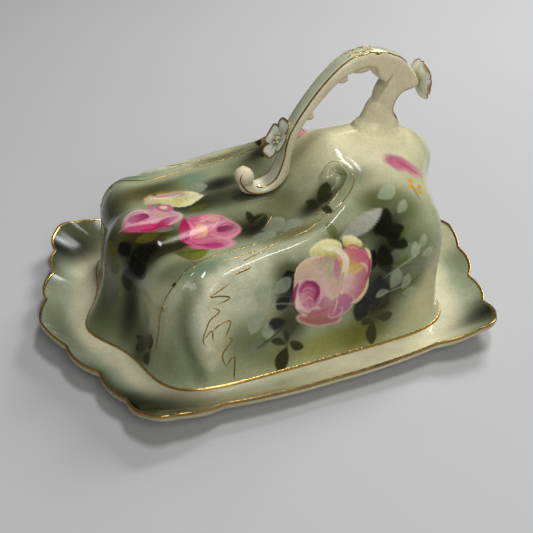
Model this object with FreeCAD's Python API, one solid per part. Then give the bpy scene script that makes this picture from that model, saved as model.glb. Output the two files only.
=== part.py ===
import FreeCAD, Part
import math
import os

# Covered butter dish: a scalloped porcelain tray, and a wedge-shaped cover that lifts off it by a
# scroll handle. Millimetres. +X runs along the tray to the high end of the cover, +Y across it and
# +Z up. The origin is the middle of the tray's base.

FLOOR_Z = 5.6           # top of the tray's well, where the cover's foot stands
WALL = 3.6              # thickness of the cover's wall

# Foot outline of the cover: a rounded rectangle (superellipse) with a bulge at each end
FOOT_X = 1.2            # middle of the cover along X
FOOT_HALF_LENGTH = 87.0
FOOT_HALF_WIDTH = 76.8
FOOT_POWER = 5.6        # squareness of the corners

# Roof of the cover, heights above the cover's foot
LOW_LOBE = 57.5         # side lobes at the low end
LOBE_RISE = 6.5         # how much the side lobes climb
SPINE_RISE = 3.0        # middle lobe above the side lobes, at the low end
DOME_TOP = 91.0         # crown of the high end
DOME_SLOPE = 0.54       # fall of the dome's flanks
FLUTE_DEPTH = 3.0       # two shallow grooves between the lobes
CROWN_X = 46.0          # point that the roof's rings shrink to
CROWN_RADIUS = 5.0

# Tray
WELL_MARGIN = 4.0       # from the cover's foot to the edge of the well
LIP_HEIGHT = 3.6        # depth of the rim's outer edge
FLANGE_THICKNESS = 4.2
FOOT_RING_INSET = 9.0   # outer face of the foot ring, inside the well's edge
FOOT_RING_WIDTH = 5.0
FOOT_RECESS = 1.2

# Rim of one quarter of the tray: arcs from cusp to cusp, each (x, y, z) of its start, middle and end
RIM_QUARTER = [
    [(127.5, 0.0, 18.0), (124.5, 12.5, 17.0), (119.5, 23.0, 16.0)],
    [(119.5, 23.0, 16.0), (117.5, 37.5, 15.5), (109.0, 49.5, 14.5)],
    [(109.0, 49.5, 14.5), (108.5, 62.5, 14.5), (102.5, 74.0, 14.0)],
    [(102.5, 74.0, 14.0), (102.5, 83.0, 15.5), (98.0, 91.5, 17.0)],
    [(98.0, 91.5, 17.0), (92.5, 97.0, 18.0), (84.5, 97.5, 17.0)],
    [(84.5, 97.5, 17.0), (72.5, 98.5, 15.5), (60.0, 95.0, 13.0)],
    [(60.0, 95.0, 13.0), (30.0, 97.5, 12.0), (0.0, 97.5, 11.5)],
]

# Handle: the outline of its strap seen from the side, (x, z), as one closed curve
HANDLE_HALF_WIDTH = 6.2
HANDLE_EDGE = 1.3       # rounding of the strap's edges
EDGE_STEPS = 3
HANDLE_SPLINE = [
    (-5, 80), (-9, 84), (-14, 80), (-12, 72), (-3, 69), (7, 70.5), (14.5, 77), (17, 89), (24, 105.5),
    (42, 124.5), (56, 131), (64, 130), (67, 125), (71, 121.5), (75, 125), (72.5, 119.5), (68, 113),
    (65, 104), (56, 98), (60, 93), (82, 93), (82, 99), (79, 104), (83, 112.5), (91.5, 115), (91.5, 121),
    (82, 132), (71, 137.5), (59, 139), (46, 135), (30, 120.5), (16, 101), (12, 86), (7, 76), (-1, 73),
    (-5.5, 75.5),
]

# Blossoms: middle (x, z), tilt of the face from straight up, and the length of each petal
FRONT_BLOSSOM = {"middle": (11.8, 96.4), "tilt": -58.0, "petals": [10.8, 9.0, 10.8, 9.0]}
REAR_BLOSSOM = {"middle": (94.2, 117.4), "tilt": 82.0, "petals": [11.0, 9.0, 10.0, 10.0, 9.0]}
PETAL_WIDTH = 8.2
PETAL_THICKNESS = 3.4
PETAL_RINGS = 9
PETAL_POINTS = 16

EYE_RADIUS = 2.6
CALYX_RADIUS = 3.0      # short stub that roots a blossom in the handle
CALYX_LENGTH = 4.0

GILDING = 0.35          # how far the fired gold bands stand proud
GILDING_ROOT = 0.8      # how deep they are rooted in the porcelain
FOOT_GILDING_LEVEL = 0.03

RING_POINTS = 112       # points round each ring of the cover
WALL_LEVELS = [0.0, 0.08, 0.18, 0.3, 0.45, 0.62, 0.8, 1.0]
SHOULDER_STEPS = 6
ROOF_STEPS = 15
HANDLE_POINTS = 220     # points round the strap's outline


def ramp(value, low, high):
    """Smooth step from 0 at low to 1 at high."""
    t = min(max((value - low) / (high - low), 0.0), 1.0)
    return t * t * (3.0 - 2.0 * t)


def bell(value, width):
    return math.exp(-(value / width) ** 2)


def foot_outline(angle):
    """Point of the superellipse at a polar angle about its middle, and its outward normal."""
    c, s = math.cos(angle), math.sin(angle)
    radius = (abs(c / FOOT_HALF_LENGTH) ** FOOT_POWER + abs(s / FOOT_HALF_WIDTH) ** FOOT_POWER)
    radius **= -1.0 / FOOT_POWER
    x, y = radius * c, radius * s
    nx = math.copysign(abs(x / FOOT_HALF_LENGTH) ** (FOOT_POWER - 1) / FOOT_HALF_LENGTH, x)
    ny = math.copysign(abs(y / FOOT_HALF_WIDTH) ** (FOOT_POWER - 1) / FOOT_HALF_WIDTH, y)
    size = math.hypot(nx, ny)
    return FOOT_X + x, y, nx / size, ny / size


def roof(x, y):
    """Height of the cover's roof above its foot."""
    across = abs(y)
    spine = SPINE_RISE * bell(y, 20.0) * (1.0 - ramp(x, -45.0, 0.0))
    lobes = LOW_LOBE + LOBE_RISE * ramp(x, -60.0, 30.0) + spine
    dome = DOME_TOP - DOME_SLOPE * (math.sqrt(y * y + 64.0) - 8.0) - 3.5 * ramp(x, 70.0, 100.0)
    high = ramp(x, 2.0, 40.0)
    flute_y = 27.0 - 10.0 * ramp(x, -85.0, 5.0)
    flute = FLUTE_DEPTH * bell(across - flute_y, 6.0) * (1.0 - ramp(x, -30.0, 10.0))
    volute = 3.2 * math.exp(-((x - 24.0) / 15.0) ** 2 - ((across - 41.0) / 10.0) ** 2)
    return lobes * (1.0 - high) + dome * high - flute + volute


def end_bulge(foot_x, y, z):
    """How far the serpentine bulge of an end wall stands out at a height."""
    if foot_x < 0.0:
        depth = 10.0 + 7.5 * bell(z, 22.0)
        width = 25.0 - 6.0 * ramp(z, 0.0, 40.0)
    else:
        depth = 11.0 + 5.0 * math.exp(-z / 10.0) + 9.0 * bell(z - 66.0, 18.0)
        width = 25.0 - 4.0 * ramp(z, 30.0, 60.0)
    return depth * bell(y, width)


def wall_lean(end, foot_x, z):
    """How far the wall stands inside the foot outline at a height; end is 1 on an end wall, 0 on a side."""
    flare = 1.0 - math.exp(-z / 8.0)
    low = 1.0 - ramp(foot_x, -20.0, 60.0)
    side_lean = 4.5 * flare + low * 7.0 * (z / 45.0) ** 1.5
    end_lean = 6.2 * flare if foot_x < 0.0 else 5.0 * flare - 2.5 * ramp(z, 20.0, 55.0)
    return (1.0 - end) * side_lean + end * end_lean


def cover_point(angle, level):
    """Outer surface of the cover: level 0 to 1 up the wall, to 2 over the shoulder, to 3 at the crown."""
    foot_x, foot_y, nx, ny = foot_outline(angle)
    end = nx * nx
    high = ramp(foot_x, -10.0, 70.0)
    shoulder_run = (1.0 - end) * (15.0 + 19.0 * high) + end * (17.0 if foot_x < 0.0 else 24.0)
    shoulder_rise = (1.0 - end) * (16.0 + 16.0 * high) + end * (20.0 if foot_x < 0.0 else 24.0)
    slant = math.cos(angle) * nx + math.sin(angle) * ny
    shoulder_end = (wall_lean(end, foot_x, 42.0) + shoulder_run) / slant
    end_x, end_y = foot_x - math.cos(angle) * shoulder_end, foot_y - math.sin(angle) * shoulder_end
    wall_top = roof(end_x, end_y) - shoulder_rise
    lean_top = wall_lean(end, foot_x, wall_top) / slant
    if level <= 1.0:
        run = wall_lean(end, foot_x, wall_top * level) / slant
    elif level <= 2.0:
        run = lean_top + (shoulder_end - lean_top) * (1.0 - math.cos((level - 1.0) * math.pi / 2))
    else:
        run = shoulder_end
    x, y = foot_x - math.cos(angle) * run, foot_y - math.sin(angle) * run
    if level > 2.0:
        crown_x, crown_y = CROWN_X + CROWN_RADIUS * math.cos(angle), CROWN_RADIUS * math.sin(angle)
        x, y = x + (crown_x - x) * (level - 2.0), y + (crown_y - y) * (level - 2.0)
        run = math.hypot(x - foot_x, y - foot_y)
    if level <= 1.0:
        z = wall_top * level
    elif level <= 2.0:
        z = wall_top + (roof(x, y) - wall_top) * math.sin((level - 1.0) * math.pi / 2)
    else:
        z = roof(x, y)
    fade = 1.0 - ramp(run, 0.0, 45.0 if foot_x < 0.0 else 38.0)
    x += math.copysign(end_bulge(foot_x, y, z) * abs(nx) ** 3 * fade, foot_x)
    return FreeCAD.Vector(x, y, z + FLOOR_Z)


def cover_normal(angle, level):
    """Outward normal of the cover's outer surface."""
    step = 0.002
    low, high = max(level - step, 0.0), min(level + step, 3.0)
    along = cover_point(angle + step, level) - cover_point(angle - step, level)
    up = cover_point(angle, high) - cover_point(angle, low)
    normal = along.cross(up)
    normal.normalize()
    return normal


def ring_wire(points):
    """Closed smooth curve that the points steer."""
    count = len(points)
    curve = Part.BSplineCurve()
    curve.buildFromPolesMultsKnots(points, [1] * (count + 1), list(range(count + 1)), True, 3)
    return Part.Wire(curve.toShape())


def ring_skin(rings, degree):
    """One smooth face through a stack of rings, and the wires of its first and last ring."""
    around, spans = len(rings[0]), len(rings) - degree
    poles = [[ring[i] for ring in rings] for i in range(around)]
    ends = [degree + 1] + [1] * (spans - 1) + [degree + 1]
    surface = Part.BSplineSurface()
    surface.buildFromPolesMultsKnots(poles, [1] * (around + 1), ends, list(range(around + 1)),
                                     list(range(spans + 1)), True, False, 3, degree)
    face = surface.toShape()
    wires = [Part.Wire([e]) for e in face.Edges if e.isClosed()]
    wires.sort(key=lambda w: w.CenterOfMass.distanceToPoint(center(rings[0])))
    return face, wires[0], wires[1]


def center(points):
    total = FreeCAD.Vector(0, 0, 0)
    for p in points:
        total += p
    return total * (1.0 / len(points))


def ring_solid(rings, degree):
    """Solid through a stack of rings whose first and last are flat."""
    face, first, last = ring_skin(rings, degree)
    return closed_solid([face, Part.Face(first), Part.Face(last)])


def closed_solid(faces):
    """Solid whose skin is the faces, sewn along their shared edges."""
    shell = Part.makeShell(faces)
    shell.sewShape()
    solid = Part.Solid(shell.Shells[0])
    if solid.Volume < 0.0:
        solid.reverse()
    return solid


def flat(points, z):
    return [FreeCAD.Vector(p.x, p.y, z) for p in points]


def angles():
    return [2.0 * math.pi * i / RING_POINTS for i in range(RING_POINTS)]


def outer_ring(level):
    points = [cover_point(a, level) for a in angles()]
    if level == 3.0:
        points = flat(points, roof(CROWN_X, 0.0) + FLOOR_Z)
    return points


def inner_ring(level):
    """The outer ring moved in by the wall's thickness; the first and last rings stay flat."""
    points = []
    for a in angles():
        normal = cover_normal(a, level)
        if level == 0.0:
            normal.z = 0.0
            normal.normalize()
        points.append(cover_point(a, level) - normal * WALL)
    if level == 0.0:
        points = flat(points, FLOOR_Z)
    if level == 3.0:
        points = flat(points, roof(CROWN_X, 0.0) + FLOOR_Z - WALL)
    return points


def make_cover_shell():
    levels = WALL_LEVELS + [1.0 + (i + 1) / SHOULDER_STEPS for i in range(SHOULDER_STEPS)]
    levels += [2.0 + (i + 1) / ROOF_STEPS for i in range(ROOF_STEPS)]
    outside, outer_foot, outer_crown = ring_skin([outer_ring(v) for v in levels], 3)
    inside, inner_foot, inner_crown = ring_skin([inner_ring(v) for v in levels], 3)
    foot = Part.Face([outer_foot, inner_foot])
    foot.validate()
    return closed_solid([outside, inside, Part.Face(outer_crown), Part.Face(inner_crown), foot])


def foot_ring(margin, level=0.0):
    """A low ring of the cover's wall, moved out level by a margin."""
    points = []
    for a in angles():
        p = cover_point(a, level)
        normal = cover_normal(a, level)
        normal.z = 0.0
        normal.normalize()
        points.append(p + normal * margin)
    return points


def arc_samples(start, middle, end, count):
    """Points along the circular arc through three plan points, with the height in step with them."""
    ax, ay = middle[0] - start[0], middle[1] - start[1]
    bx, by = end[0] - start[0], end[1] - start[1]
    cross = 2.0 * (ax * by - ay * bx)
    a2, b2 = ax * ax + ay * ay, bx * bx + by * by
    cx = start[0] + (by * a2 - ay * b2) / cross
    cy = start[1] + (ax * b2 - bx * a2) / cross
    radius = math.hypot(start[0] - cx, start[1] - cy)
    first = math.atan2(start[1] - cy, start[0] - cx)
    last = math.atan2(end[1] - cy, end[0] - cx)
    sweep = (last - first + math.pi) % (2.0 * math.pi) - math.pi
    points = []
    for i in range(count):
        t = i / count
        angle = first + sweep * t
        z = (start[2] * (1 - t) * (1 - 2 * t) + 4 * middle[2] * t * (1 - t) + end[2] * t * (2 * t - 1))
        points.append(FreeCAD.Vector(cx + radius * math.cos(angle), cy + radius * math.sin(angle), z))
    return points


def tray_rim():
    """The whole rim: one quarter of arcs, mirrored twice."""
    quarter = []
    for start, middle, end in RIM_QUARTER:
        span = math.dist(start, end)
        quarter += arc_samples(start, middle, end, max(4, round(span / 4.5)))
    last = RIM_QUARTER[-1][2]
    half = quarter + [FreeCAD.Vector(*last)]
    half += [FreeCAD.Vector(-p.x, p.y, p.z) for p in reversed(quarter)]
    return half + [FreeCAD.Vector(p.x, -p.y, p.z) for p in reversed(half[1:-1])]


def ogee(t):
    """Rise of the flange from the well's edge to the lip."""
    return t * t * (1.7 - 0.7 * t)


def well_edge(rim):
    """Points of the well's edge that face the rim's points."""
    ring = foot_ring(WELL_MARGIN)
    by_angle = sorted((math.atan2(p.y, p.x), p) for p in ring)
    keys = [k for k, _ in by_angle]
    points = []
    for r in rim:
        key = math.atan2(r.y, r.x)
        j = next((i for i, k in enumerate(keys) if k > key), 0)
        k0, p0 = by_angle[j - 1]
        k1, p1 = by_angle[j]
        span = (k1 - k0) % (2.0 * math.pi)
        t = ((key - k0) % (2.0 * math.pi)) / span
        points.append(p0 * (1.0 - t) + p1 * t)
    return points


def flange_ring(well, rim, t, drop=0.0):
    """Ring across the flange: t 0 at the well's edge and 1 at the rim, drop below the top face."""
    points = []
    for w, r in zip(well, rim):
        z = FLOOR_Z + (r.z - FLOOR_Z) * ogee(t) - drop
        points.append(FreeCAD.Vector(w.x + (r.x - w.x) * t, w.y + (r.y - w.y) * t, z))
    return points


def make_tray():
    rim = tray_rim()
    well = well_edge(rim)
    rings = [flat(well, FLOOR_Z)]
    rings += [flange_ring(well, rim, t) for t in (0.2, 0.4, 0.6, 0.8, 0.94)]
    rings += [flange_ring(well, rim, 1.0, 0.9), flange_ring(well, rim, 0.98, LIP_HEIGHT)]
    rings += [flange_ring(well, rim, t, FLANGE_THICKNESS) for t in (0.75, 0.5, 0.25)]
    inset = 1.0 - FOOT_RING_INSET / FOOT_HALF_WIDTH
    foot = [FreeCAD.Vector(p.x * inset, p.y * inset, 0.0) for p in well]
    rings += [flat(foot, FOOT_RECESS + 0.6), foot]
    tray = ring_solid(rings, 2)
    inset -= FOOT_RING_WIDTH / FOOT_HALF_WIDTH
    recess = [FreeCAD.Vector(p.x * inset, p.y * inset, 0.0) for p in well]
    pocket = Part.Face(ring_wire(recess)).extrude(FreeCAD.Vector(0, 0, FOOT_RECESS))
    return tray.cut(pocket).Solids[0]


def ruled_ring(rings):
    """Hoop whose section has one corner on each ring."""
    wires = [ring_wire(r) for r in rings]
    faces = []
    for i, wire in enumerate(wires):
        faces += Part.makeRuledSurface(wire, wires[(i + 1) % len(wires)]).Faces
    return closed_solid(faces)


def make_rim_gilding():
    """The gold band fired over the lip."""
    rim = tray_rim()
    well = well_edge(rim)
    inner = flange_ring(well, rim, 0.93, 0.5)
    top = flange_ring(well, rim, 0.95, -GILDING)
    outer = flange_ring(well, rim, 1.02, 0.6)
    under = flange_ring(well, rim, 0.985, 1.6)
    return ruled_ring([inner, top, outer, under])


def make_foot_gilding():
    """The gold band fired round the cover's foot."""
    rings = [foot_ring(-GILDING_ROOT), foot_ring(GILDING)]
    rings += [foot_ring(GILDING, FOOT_GILDING_LEVEL), foot_ring(-GILDING_ROOT, FOOT_GILDING_LEVEL)]
    return ruled_ring(rings)


def handle_ring(curve, y, inset):
    """The strap's outline at a place across its width, moved in by an inset."""
    first, last = curve.FirstParameter, curve.LastParameter
    points = []
    for i in range(HANDLE_POINTS):
        u = first + (last - first) * i / HANDLE_POINTS
        p, tangent = curve.value(u), curve.tangent(u)[0]
        points.append(FreeCAD.Vector(p.x - tangent.z * inset, y, p.z + tangent.x * inset))
    return points


def make_handle():
    curve = Part.BSplineCurve()
    curve.interpolate([FreeCAD.Vector(x, 0, z) for x, z in HANDLE_SPLINE], PeriodicFlag=True)
    half = []
    for i in range(EDGE_STEPS + 1):
        turn = math.pi / 2 * i / EDGE_STEPS
        inset = HANDLE_EDGE * (1.0 - math.cos(turn))
        half.append((HANDLE_HALF_WIDTH - HANDLE_EDGE * (1.0 - math.sin(turn)), inset))
    rings = [(-y, inset) for y, inset in reversed(half)] + half
    return ring_solid([handle_ring(curve, y, inset) for y, inset in rings], 1)


def make_petal(length):
    """A flattened oval petal that runs out along +X from the blossom's middle and rises to its tip."""
    rings = []
    for i in range(PETAL_RINGS):
        t = -0.985 + 1.97 * i / (PETAL_RINGS - 1)
        girth = math.sqrt(1.0 - t * t)
        x, lift = length * (0.5 + 0.5 * t), 0.8 + 1.2 * (0.5 + 0.5 * t) ** 2
        ring = []
        for k in range(PETAL_POINTS):
            turn = 2.0 * math.pi * k / PETAL_POINTS
            z = lift + PETAL_THICKNESS / 2.0 * girth * math.sin(turn)
            ring.append(FreeCAD.Vector(x, PETAL_WIDTH / 2.0 * girth * math.cos(turn), z))
        rings.append(ring)
    return ring_solid(rings, 3)


def make_blossom(spec):
    """Petals round a small eye, on the outer face of the handle."""
    blossom = Part.makeSphere(EYE_RADIUS)
    calyx = Part.makeCylinder(CALYX_RADIUS, CALYX_LENGTH, FreeCAD.Vector(0, 0, -CALYX_LENGTH))
    blossom = blossom.fuse(calyx)
    count = len(spec["petals"])
    for i, length in enumerate(spec["petals"]):
        petal = make_petal(length)
        petal.rotate(FreeCAD.Vector(0, 0, 0), FreeCAD.Vector(0, 0, 1), 360.0 * i / count)
        blossom = blossom.fuse(petal)
    blossom.rotate(FreeCAD.Vector(0, 0, 0), FreeCAD.Vector(0, 1, 0), spec["tilt"])
    x, z = spec["middle"]
    blossom.translate(FreeCAD.Vector(x, 0, z))
    return blossom.Solids[0]


PARTS = {
    "tray": make_tray,
    "tray_rim_gilding": make_rim_gilding,
    "cover_shell": make_cover_shell,
    "cover_foot_gilding": make_foot_gilding,
    "handle": make_handle,
    "front_blossom": lambda: make_blossom(FRONT_BLOSSOM),
    "rear_blossom": lambda: make_blossom(REAR_BLOSSOM),
}

os.makedirs("parts", exist_ok=True)
for name, make in PARTS.items():
    shape = make()
    shape.exportStep(os.path.join("parts", name + ".step"))
    box = shape.BoundBox
    print(name, shape.ShapeType, "valid" if shape.isValid() else "INVALID", round(shape.Volume / 1000.0, 1),
          [round(v, 1) for v in (box.XMin, box.XMax, box.YMin, box.YMax, box.ZMin, box.ZMax)])
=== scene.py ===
"""Looks of a covered butter dish: airbrushed porcelain with painted roses, raised scrolls and gilding.

Shapes are worked out in millimetres in the frame of the CAD model and turned into metres when a
mesh is made: +X runs along the tray to the high end of the cover, +Y across it, +Z up.
"""

import math

import bpy
import numpy as np
from mathutils import Matrix, Vector
from mathutils.bvhtree import BVHTree
from mathutils.geometry import tessellate_polygon


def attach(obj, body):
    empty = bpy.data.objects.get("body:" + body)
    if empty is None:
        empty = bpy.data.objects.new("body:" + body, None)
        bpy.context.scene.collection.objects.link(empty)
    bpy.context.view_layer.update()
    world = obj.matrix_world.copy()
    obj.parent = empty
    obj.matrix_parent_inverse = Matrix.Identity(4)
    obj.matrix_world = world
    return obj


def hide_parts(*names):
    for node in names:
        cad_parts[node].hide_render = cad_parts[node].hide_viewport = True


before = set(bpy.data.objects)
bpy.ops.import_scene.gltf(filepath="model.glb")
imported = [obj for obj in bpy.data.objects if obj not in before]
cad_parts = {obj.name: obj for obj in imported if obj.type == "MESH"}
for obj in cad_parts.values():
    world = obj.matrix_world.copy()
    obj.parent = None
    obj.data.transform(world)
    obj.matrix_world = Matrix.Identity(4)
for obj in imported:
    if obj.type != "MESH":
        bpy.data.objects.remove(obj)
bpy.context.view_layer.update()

MM = 0.001
CHUNK = 20000           # points compared with a path at a time
PATH_REACH = 25.0       # how far from a path its relief may reach
FAR_AWAY = 1e9
CURVE_SAMPLES = 24      # samples between two points of a smooth curve
SKIP = 7                # only every seventh point is searched for the one nearest to a way

# Cover: the same driving dimensions as the CAD model
FLOOR_Z = 5.6
WALL = 3.6
FOOT_X = 1.2
FOOT_HALF_LENGTH = 87.0
FOOT_HALF_WIDTH = 76.8
FOOT_POWER = 5.6
CROWN_X = 46.0
CROWN_RADIUS = 5.0
LOBE_HEIGHT = 57.5      # roof above the foot at the low end
LOBE_RISE = 6.5
SPINE_HEIGHT = 3.0      # between the lobes
FLUTE_DEPTH = 3.0
VOLUTE_HEIGHT = 3.2
DOME_HEIGHT = 91.0
DOME_SLOPE = 0.54       # fall of the dome to each side
DOME_BLUNTNESS = 8.0    # half width over which its ridge is rounded
SIDE_RUN = (15.0, 19.0)     # the shoulder's reach on a long side: at the low end, and the gain
SIDE_RISE = (16.0, 16.0)    # at the high end; and its height in the same way
END_RUN = (17.0, 24.0)      # the same across the low end and across the high end
END_RISE = (20.0, 24.0)
COVER_COLUMNS = 1000
WALL_ROWS = 84
SHOULDER_ROWS = 50
ROOF_ROWS = 170
CAP_ROWS = 8
FINE_ANGLES = 4001      # samples from which evenly spaced angles are found

# Tray
WELL_MARGIN = 4.0
WELL_SAMPLES = 2000
FLANGE_THICKNESS = 4.2
FOOT_RING_INSET = 9.0
FOOT_RING_WIDTH = 5.0
FOOT_RECESS = 1.2
RIM_STEP = 1.1          # spacing of the points along the rim
RIM_QUARTER = [
    [(127.5, 0.0, 18.0), (124.5, 12.5, 17.0), (119.5, 23.0, 16.0)],
    [(119.5, 23.0, 16.0), (117.5, 37.5, 15.5), (109.0, 49.5, 14.5)],
    [(109.0, 49.5, 14.5), (108.5, 62.5, 14.5), (102.5, 74.0, 14.0)],
    [(102.5, 74.0, 14.0), (102.5, 83.0, 15.5), (98.0, 91.5, 17.0)],
    [(98.0, 91.5, 17.0), (92.5, 97.0, 18.0), (84.5, 97.5, 17.0)],
    [(84.5, 97.5, 17.0), (72.5, 98.5, 15.5), (60.0, 95.0, 13.0)],
    [(60.0, 95.0, 13.0), (30.0, 97.5, 12.0), (0.0, 97.5, 11.5)],
]

# Handle: side outline of the strap, (x, z)
HANDLE_EDGE = 2.3
HANDLE_VOXEL = 0.45
OUTLINE_STEP = 0.5
STEM_ROUNDING = 4.5
STRAP_ROWS = 41
HANDLE_OUTLINE = [
    (-5, 80), (-9, 84), (-14, 80), (-12, 72), (-3, 69), (7, 70.5), (14.5, 77), (17, 89), (24, 105.5),
    (42, 124.5), (56, 131), (64, 130), (67, 125), (71, 121.5), (75, 125), (72.5, 119.5), (68, 113),
    (65, 104), (56, 98), (60, 93), (82, 93), (82, 99), (79, 104), (83, 112.5), (91.5, 115), (91.5, 121),
    (82, 132), (71, 137.5), (59, 139), (46, 135), (30, 120.5), (16, 101), (12, 86), (7, 76), (-1, 73),
    (-5.5, 75.5),
]

# Blossoms: middle (x, z), tilt of the face from straight up, and the length of each petal
FRONT_BLOSSOM = {"middle": (11.8, 96.4), "tilt": -58.0, "petals": [10.8, 9.0, 10.8, 9.0]}
REAR_BLOSSOM = {"middle": (94.2, 117.4), "tilt": 82.0, "petals": [11.0, 9.0, 10.0, 10.0, 9.0]}
PETAL_HALF_WIDTH = 6.0
PETAL_HALF_THICKNESS = 1.3
PETAL_SWELL = 1.1

# Painted decoration is laid out flat, in millimetres right and up from the middle of each flower,
# and wrapped over the cover along one slanting direction
STENCIL_TURN = -23.6
STENCIL_TILT = 32.7
STENCIL_DEPTH = 32.0    # how far behind a flower's middle its paint still reaches

# Colours as seen, sRGB 0 to 255
CREAM = (214, 205, 165)
IVORY = (226, 219, 186)
SAGE = (156, 161, 127)
MINT = (148, 163, 130)
OLIVE = (76, 76, 34)
DARK_LEAF = (38, 40, 14)
BLACKISH = (14, 14, 6)
PALE_LEAF = (168, 178, 148)


def ramp(value, low, high):
    """Smooth step from 0 at low to 1 at high."""
    t = np.clip((value - low) / (high - low), 0.0, 1.0)
    return t * t * (3.0 - 2.0 * t)


def bell(value, width):
    return np.exp(-(value / width) ** 2)


def unit(vectors):
    return vectors / (np.linalg.norm(vectors, axis=-1, keepdims=True) + 1e-9)


def mix(first, second, share):
    """Rows between two colours, as far along as each share from 0 to 1."""
    share = share[:, None]
    return first * (1.0 - share) + second * share


def relaxed(rows, times):
    """Rows of numbers, with all but the first and last drawn towards their neighbours."""
    rows = np.array(rows)
    for _ in range(times):
        rows[1:-1] = 0.25 * rows[:-2] + 0.5 * rows[1:-1] + 0.25 * rows[2:]
    return rows


def view_axes(azimuth, elevation):
    """Right, up and backward unit vectors of a view from an azimuth and elevation in degrees."""
    a, e = math.radians(azimuth), math.radians(elevation)
    back = np.array([math.sin(a) * math.cos(e), -math.cos(a) * math.cos(e), math.sin(e)])
    right = np.array([math.cos(a), math.sin(a), 0.0])
    return right, np.cross(back, right), back


def smooth_path(points, step=1.0, closed=False):
    """Evenly spaced points along a Catmull-Rom curve through the given ones."""
    p = np.array(points, float)
    if closed:
        p = np.vstack([p[-1], p, p[0], p[1]])
    else:
        p = np.vstack([2 * p[0] - p[1], p, 2 * p[-1] - p[-2]])
    t = np.linspace(0.0, 1.0, CURVE_SAMPLES, endpoint=False)[:, None]
    dense = []
    for a, b, c, d in zip(p, p[1:], p[2:], p[3:]):
        dense.append(0.5 * (2 * b + (c - a) * t + (2 * a - 5 * b + 4 * c - d) * t ** 2
                            + (3 * b - a - 3 * c + d) * t ** 3))
    dense = np.vstack(dense + [p[-2:-1]])
    lengths = np.r_[0.0, np.cumsum(np.linalg.norm(np.diff(dense, axis=0), axis=1))]
    count = max(3, int(round(lengths[-1] / step)) + 1)
    at = np.linspace(0.0, lengths[-1], count)
    path = np.stack([np.interp(at, lengths, dense[:, k]) for k in range(dense.shape[1])], 1)
    return path[:-1] if closed else path


def nearest_on_path(points, path):
    """For each point, the index of the nearest sample of a path and the distance to it."""
    index = np.zeros(len(points), int)
    distance = np.full(len(points), FAR_AWAY)
    inside = (points > path.min(0) - PATH_REACH) & (points < path.max(0) + PATH_REACH)
    near = np.where(inside.all(1))[0]
    for start in range(0, len(near), CHUNK):
        rows = near[start:start + CHUNK]
        gap = np.linalg.norm(points[rows, None, :] - path[None, :, :], axis=2)
        index[rows] = gap.argmin(1)
        distance[rows] = gap.min(1)
    return index, distance


# Cover surface --------------------------------------------------------------------------------

def foot_outline(angle):
    """Places and outward directions round the foot of the cover, at polar angles."""
    c, s = np.cos(angle), np.sin(angle)
    total = np.abs(c / FOOT_HALF_LENGTH) ** FOOT_POWER + np.abs(s / FOOT_HALF_WIDTH) ** FOOT_POWER
    x, y = c * total ** (-1.0 / FOOT_POWER), s * total ** (-1.0 / FOOT_POWER)
    nx = np.sign(x) * np.abs(x / FOOT_HALF_LENGTH) ** (FOOT_POWER - 1) / FOOT_HALF_LENGTH
    ny = np.sign(y) * np.abs(y / FOOT_HALF_WIDTH) ** (FOOT_POWER - 1) / FOOT_HALF_WIDTH
    size = np.hypot(nx, ny)
    return FOOT_X + x, y, nx / size, ny / size


def roof(x, y):
    """Height of the roof above the foot: two lobes and a spine at the low end, a dome at the other."""
    across = np.abs(y)
    spine = SPINE_HEIGHT * bell(y, 20.0) * (1.0 - ramp(x, -45.0, 0.0))
    lobes = LOBE_HEIGHT + LOBE_RISE * ramp(x, -60.0, 30.0) + spine
    fall = DOME_SLOPE * (np.sqrt(y * y + DOME_BLUNTNESS ** 2) - DOME_BLUNTNESS)
    dome = DOME_HEIGHT - fall - 3.5 * ramp(x, 70.0, 100.0)
    high = ramp(x, 2.0, 40.0)
    flute_y = 27.0 - 10.0 * ramp(x, -85.0, 5.0)
    flute = FLUTE_DEPTH * bell(across - flute_y, 6.0) * (1.0 - ramp(x, -30.0, 10.0))
    volute = VOLUTE_HEIGHT * np.exp(-((x - 24.0) / 15.0) ** 2 - ((across - 41.0) / 10.0) ** 2)
    return lobes * (1.0 - high) + dome * high - flute + volute


def end_bulge(foot_x, y, z):
    """How far the middle of each end wall stands out."""
    left = foot_x < 0.0
    depth = np.where(left, 10.0 + 7.5 * bell(z, 22.0),
                     11.0 + 5.0 * np.exp(-z / 10.0) + 9.0 * bell(z - 66.0, 18.0))
    width = np.where(left, 25.0 - 6.0 * ramp(z, 0.0, 40.0), 25.0 - 4.0 * ramp(z, 30.0, 60.0))
    return depth * bell(y, width)


def wall_lean(end, foot_x, z):
    """How far the wall leans in at a height; end is 0 on a long side and 1 on an end."""
    flare = 1.0 - np.exp(-z / 8.0)
    low = 1.0 - ramp(foot_x, -20.0, 60.0)
    side_lean = 4.5 * flare + low * 7.0 * (np.maximum(z, 0.0) / 45.0) ** 1.5
    end_lean = np.where(foot_x < 0.0, 6.2 * flare, 5.0 * flare - 2.5 * ramp(z, 20.0, 55.0))
    return (1.0 - end) * side_lean + end * end_lean


def shoulder(end, foot_x, side, ends):
    """A size of the shoulder, from its values on the long sides and on the two ends."""
    high = ramp(foot_x, -10.0, 70.0)
    return (1.0 - end) * (side[0] + side[1] * high) + end * np.where(foot_x < 0.0, ends[0], ends[1])


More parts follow.
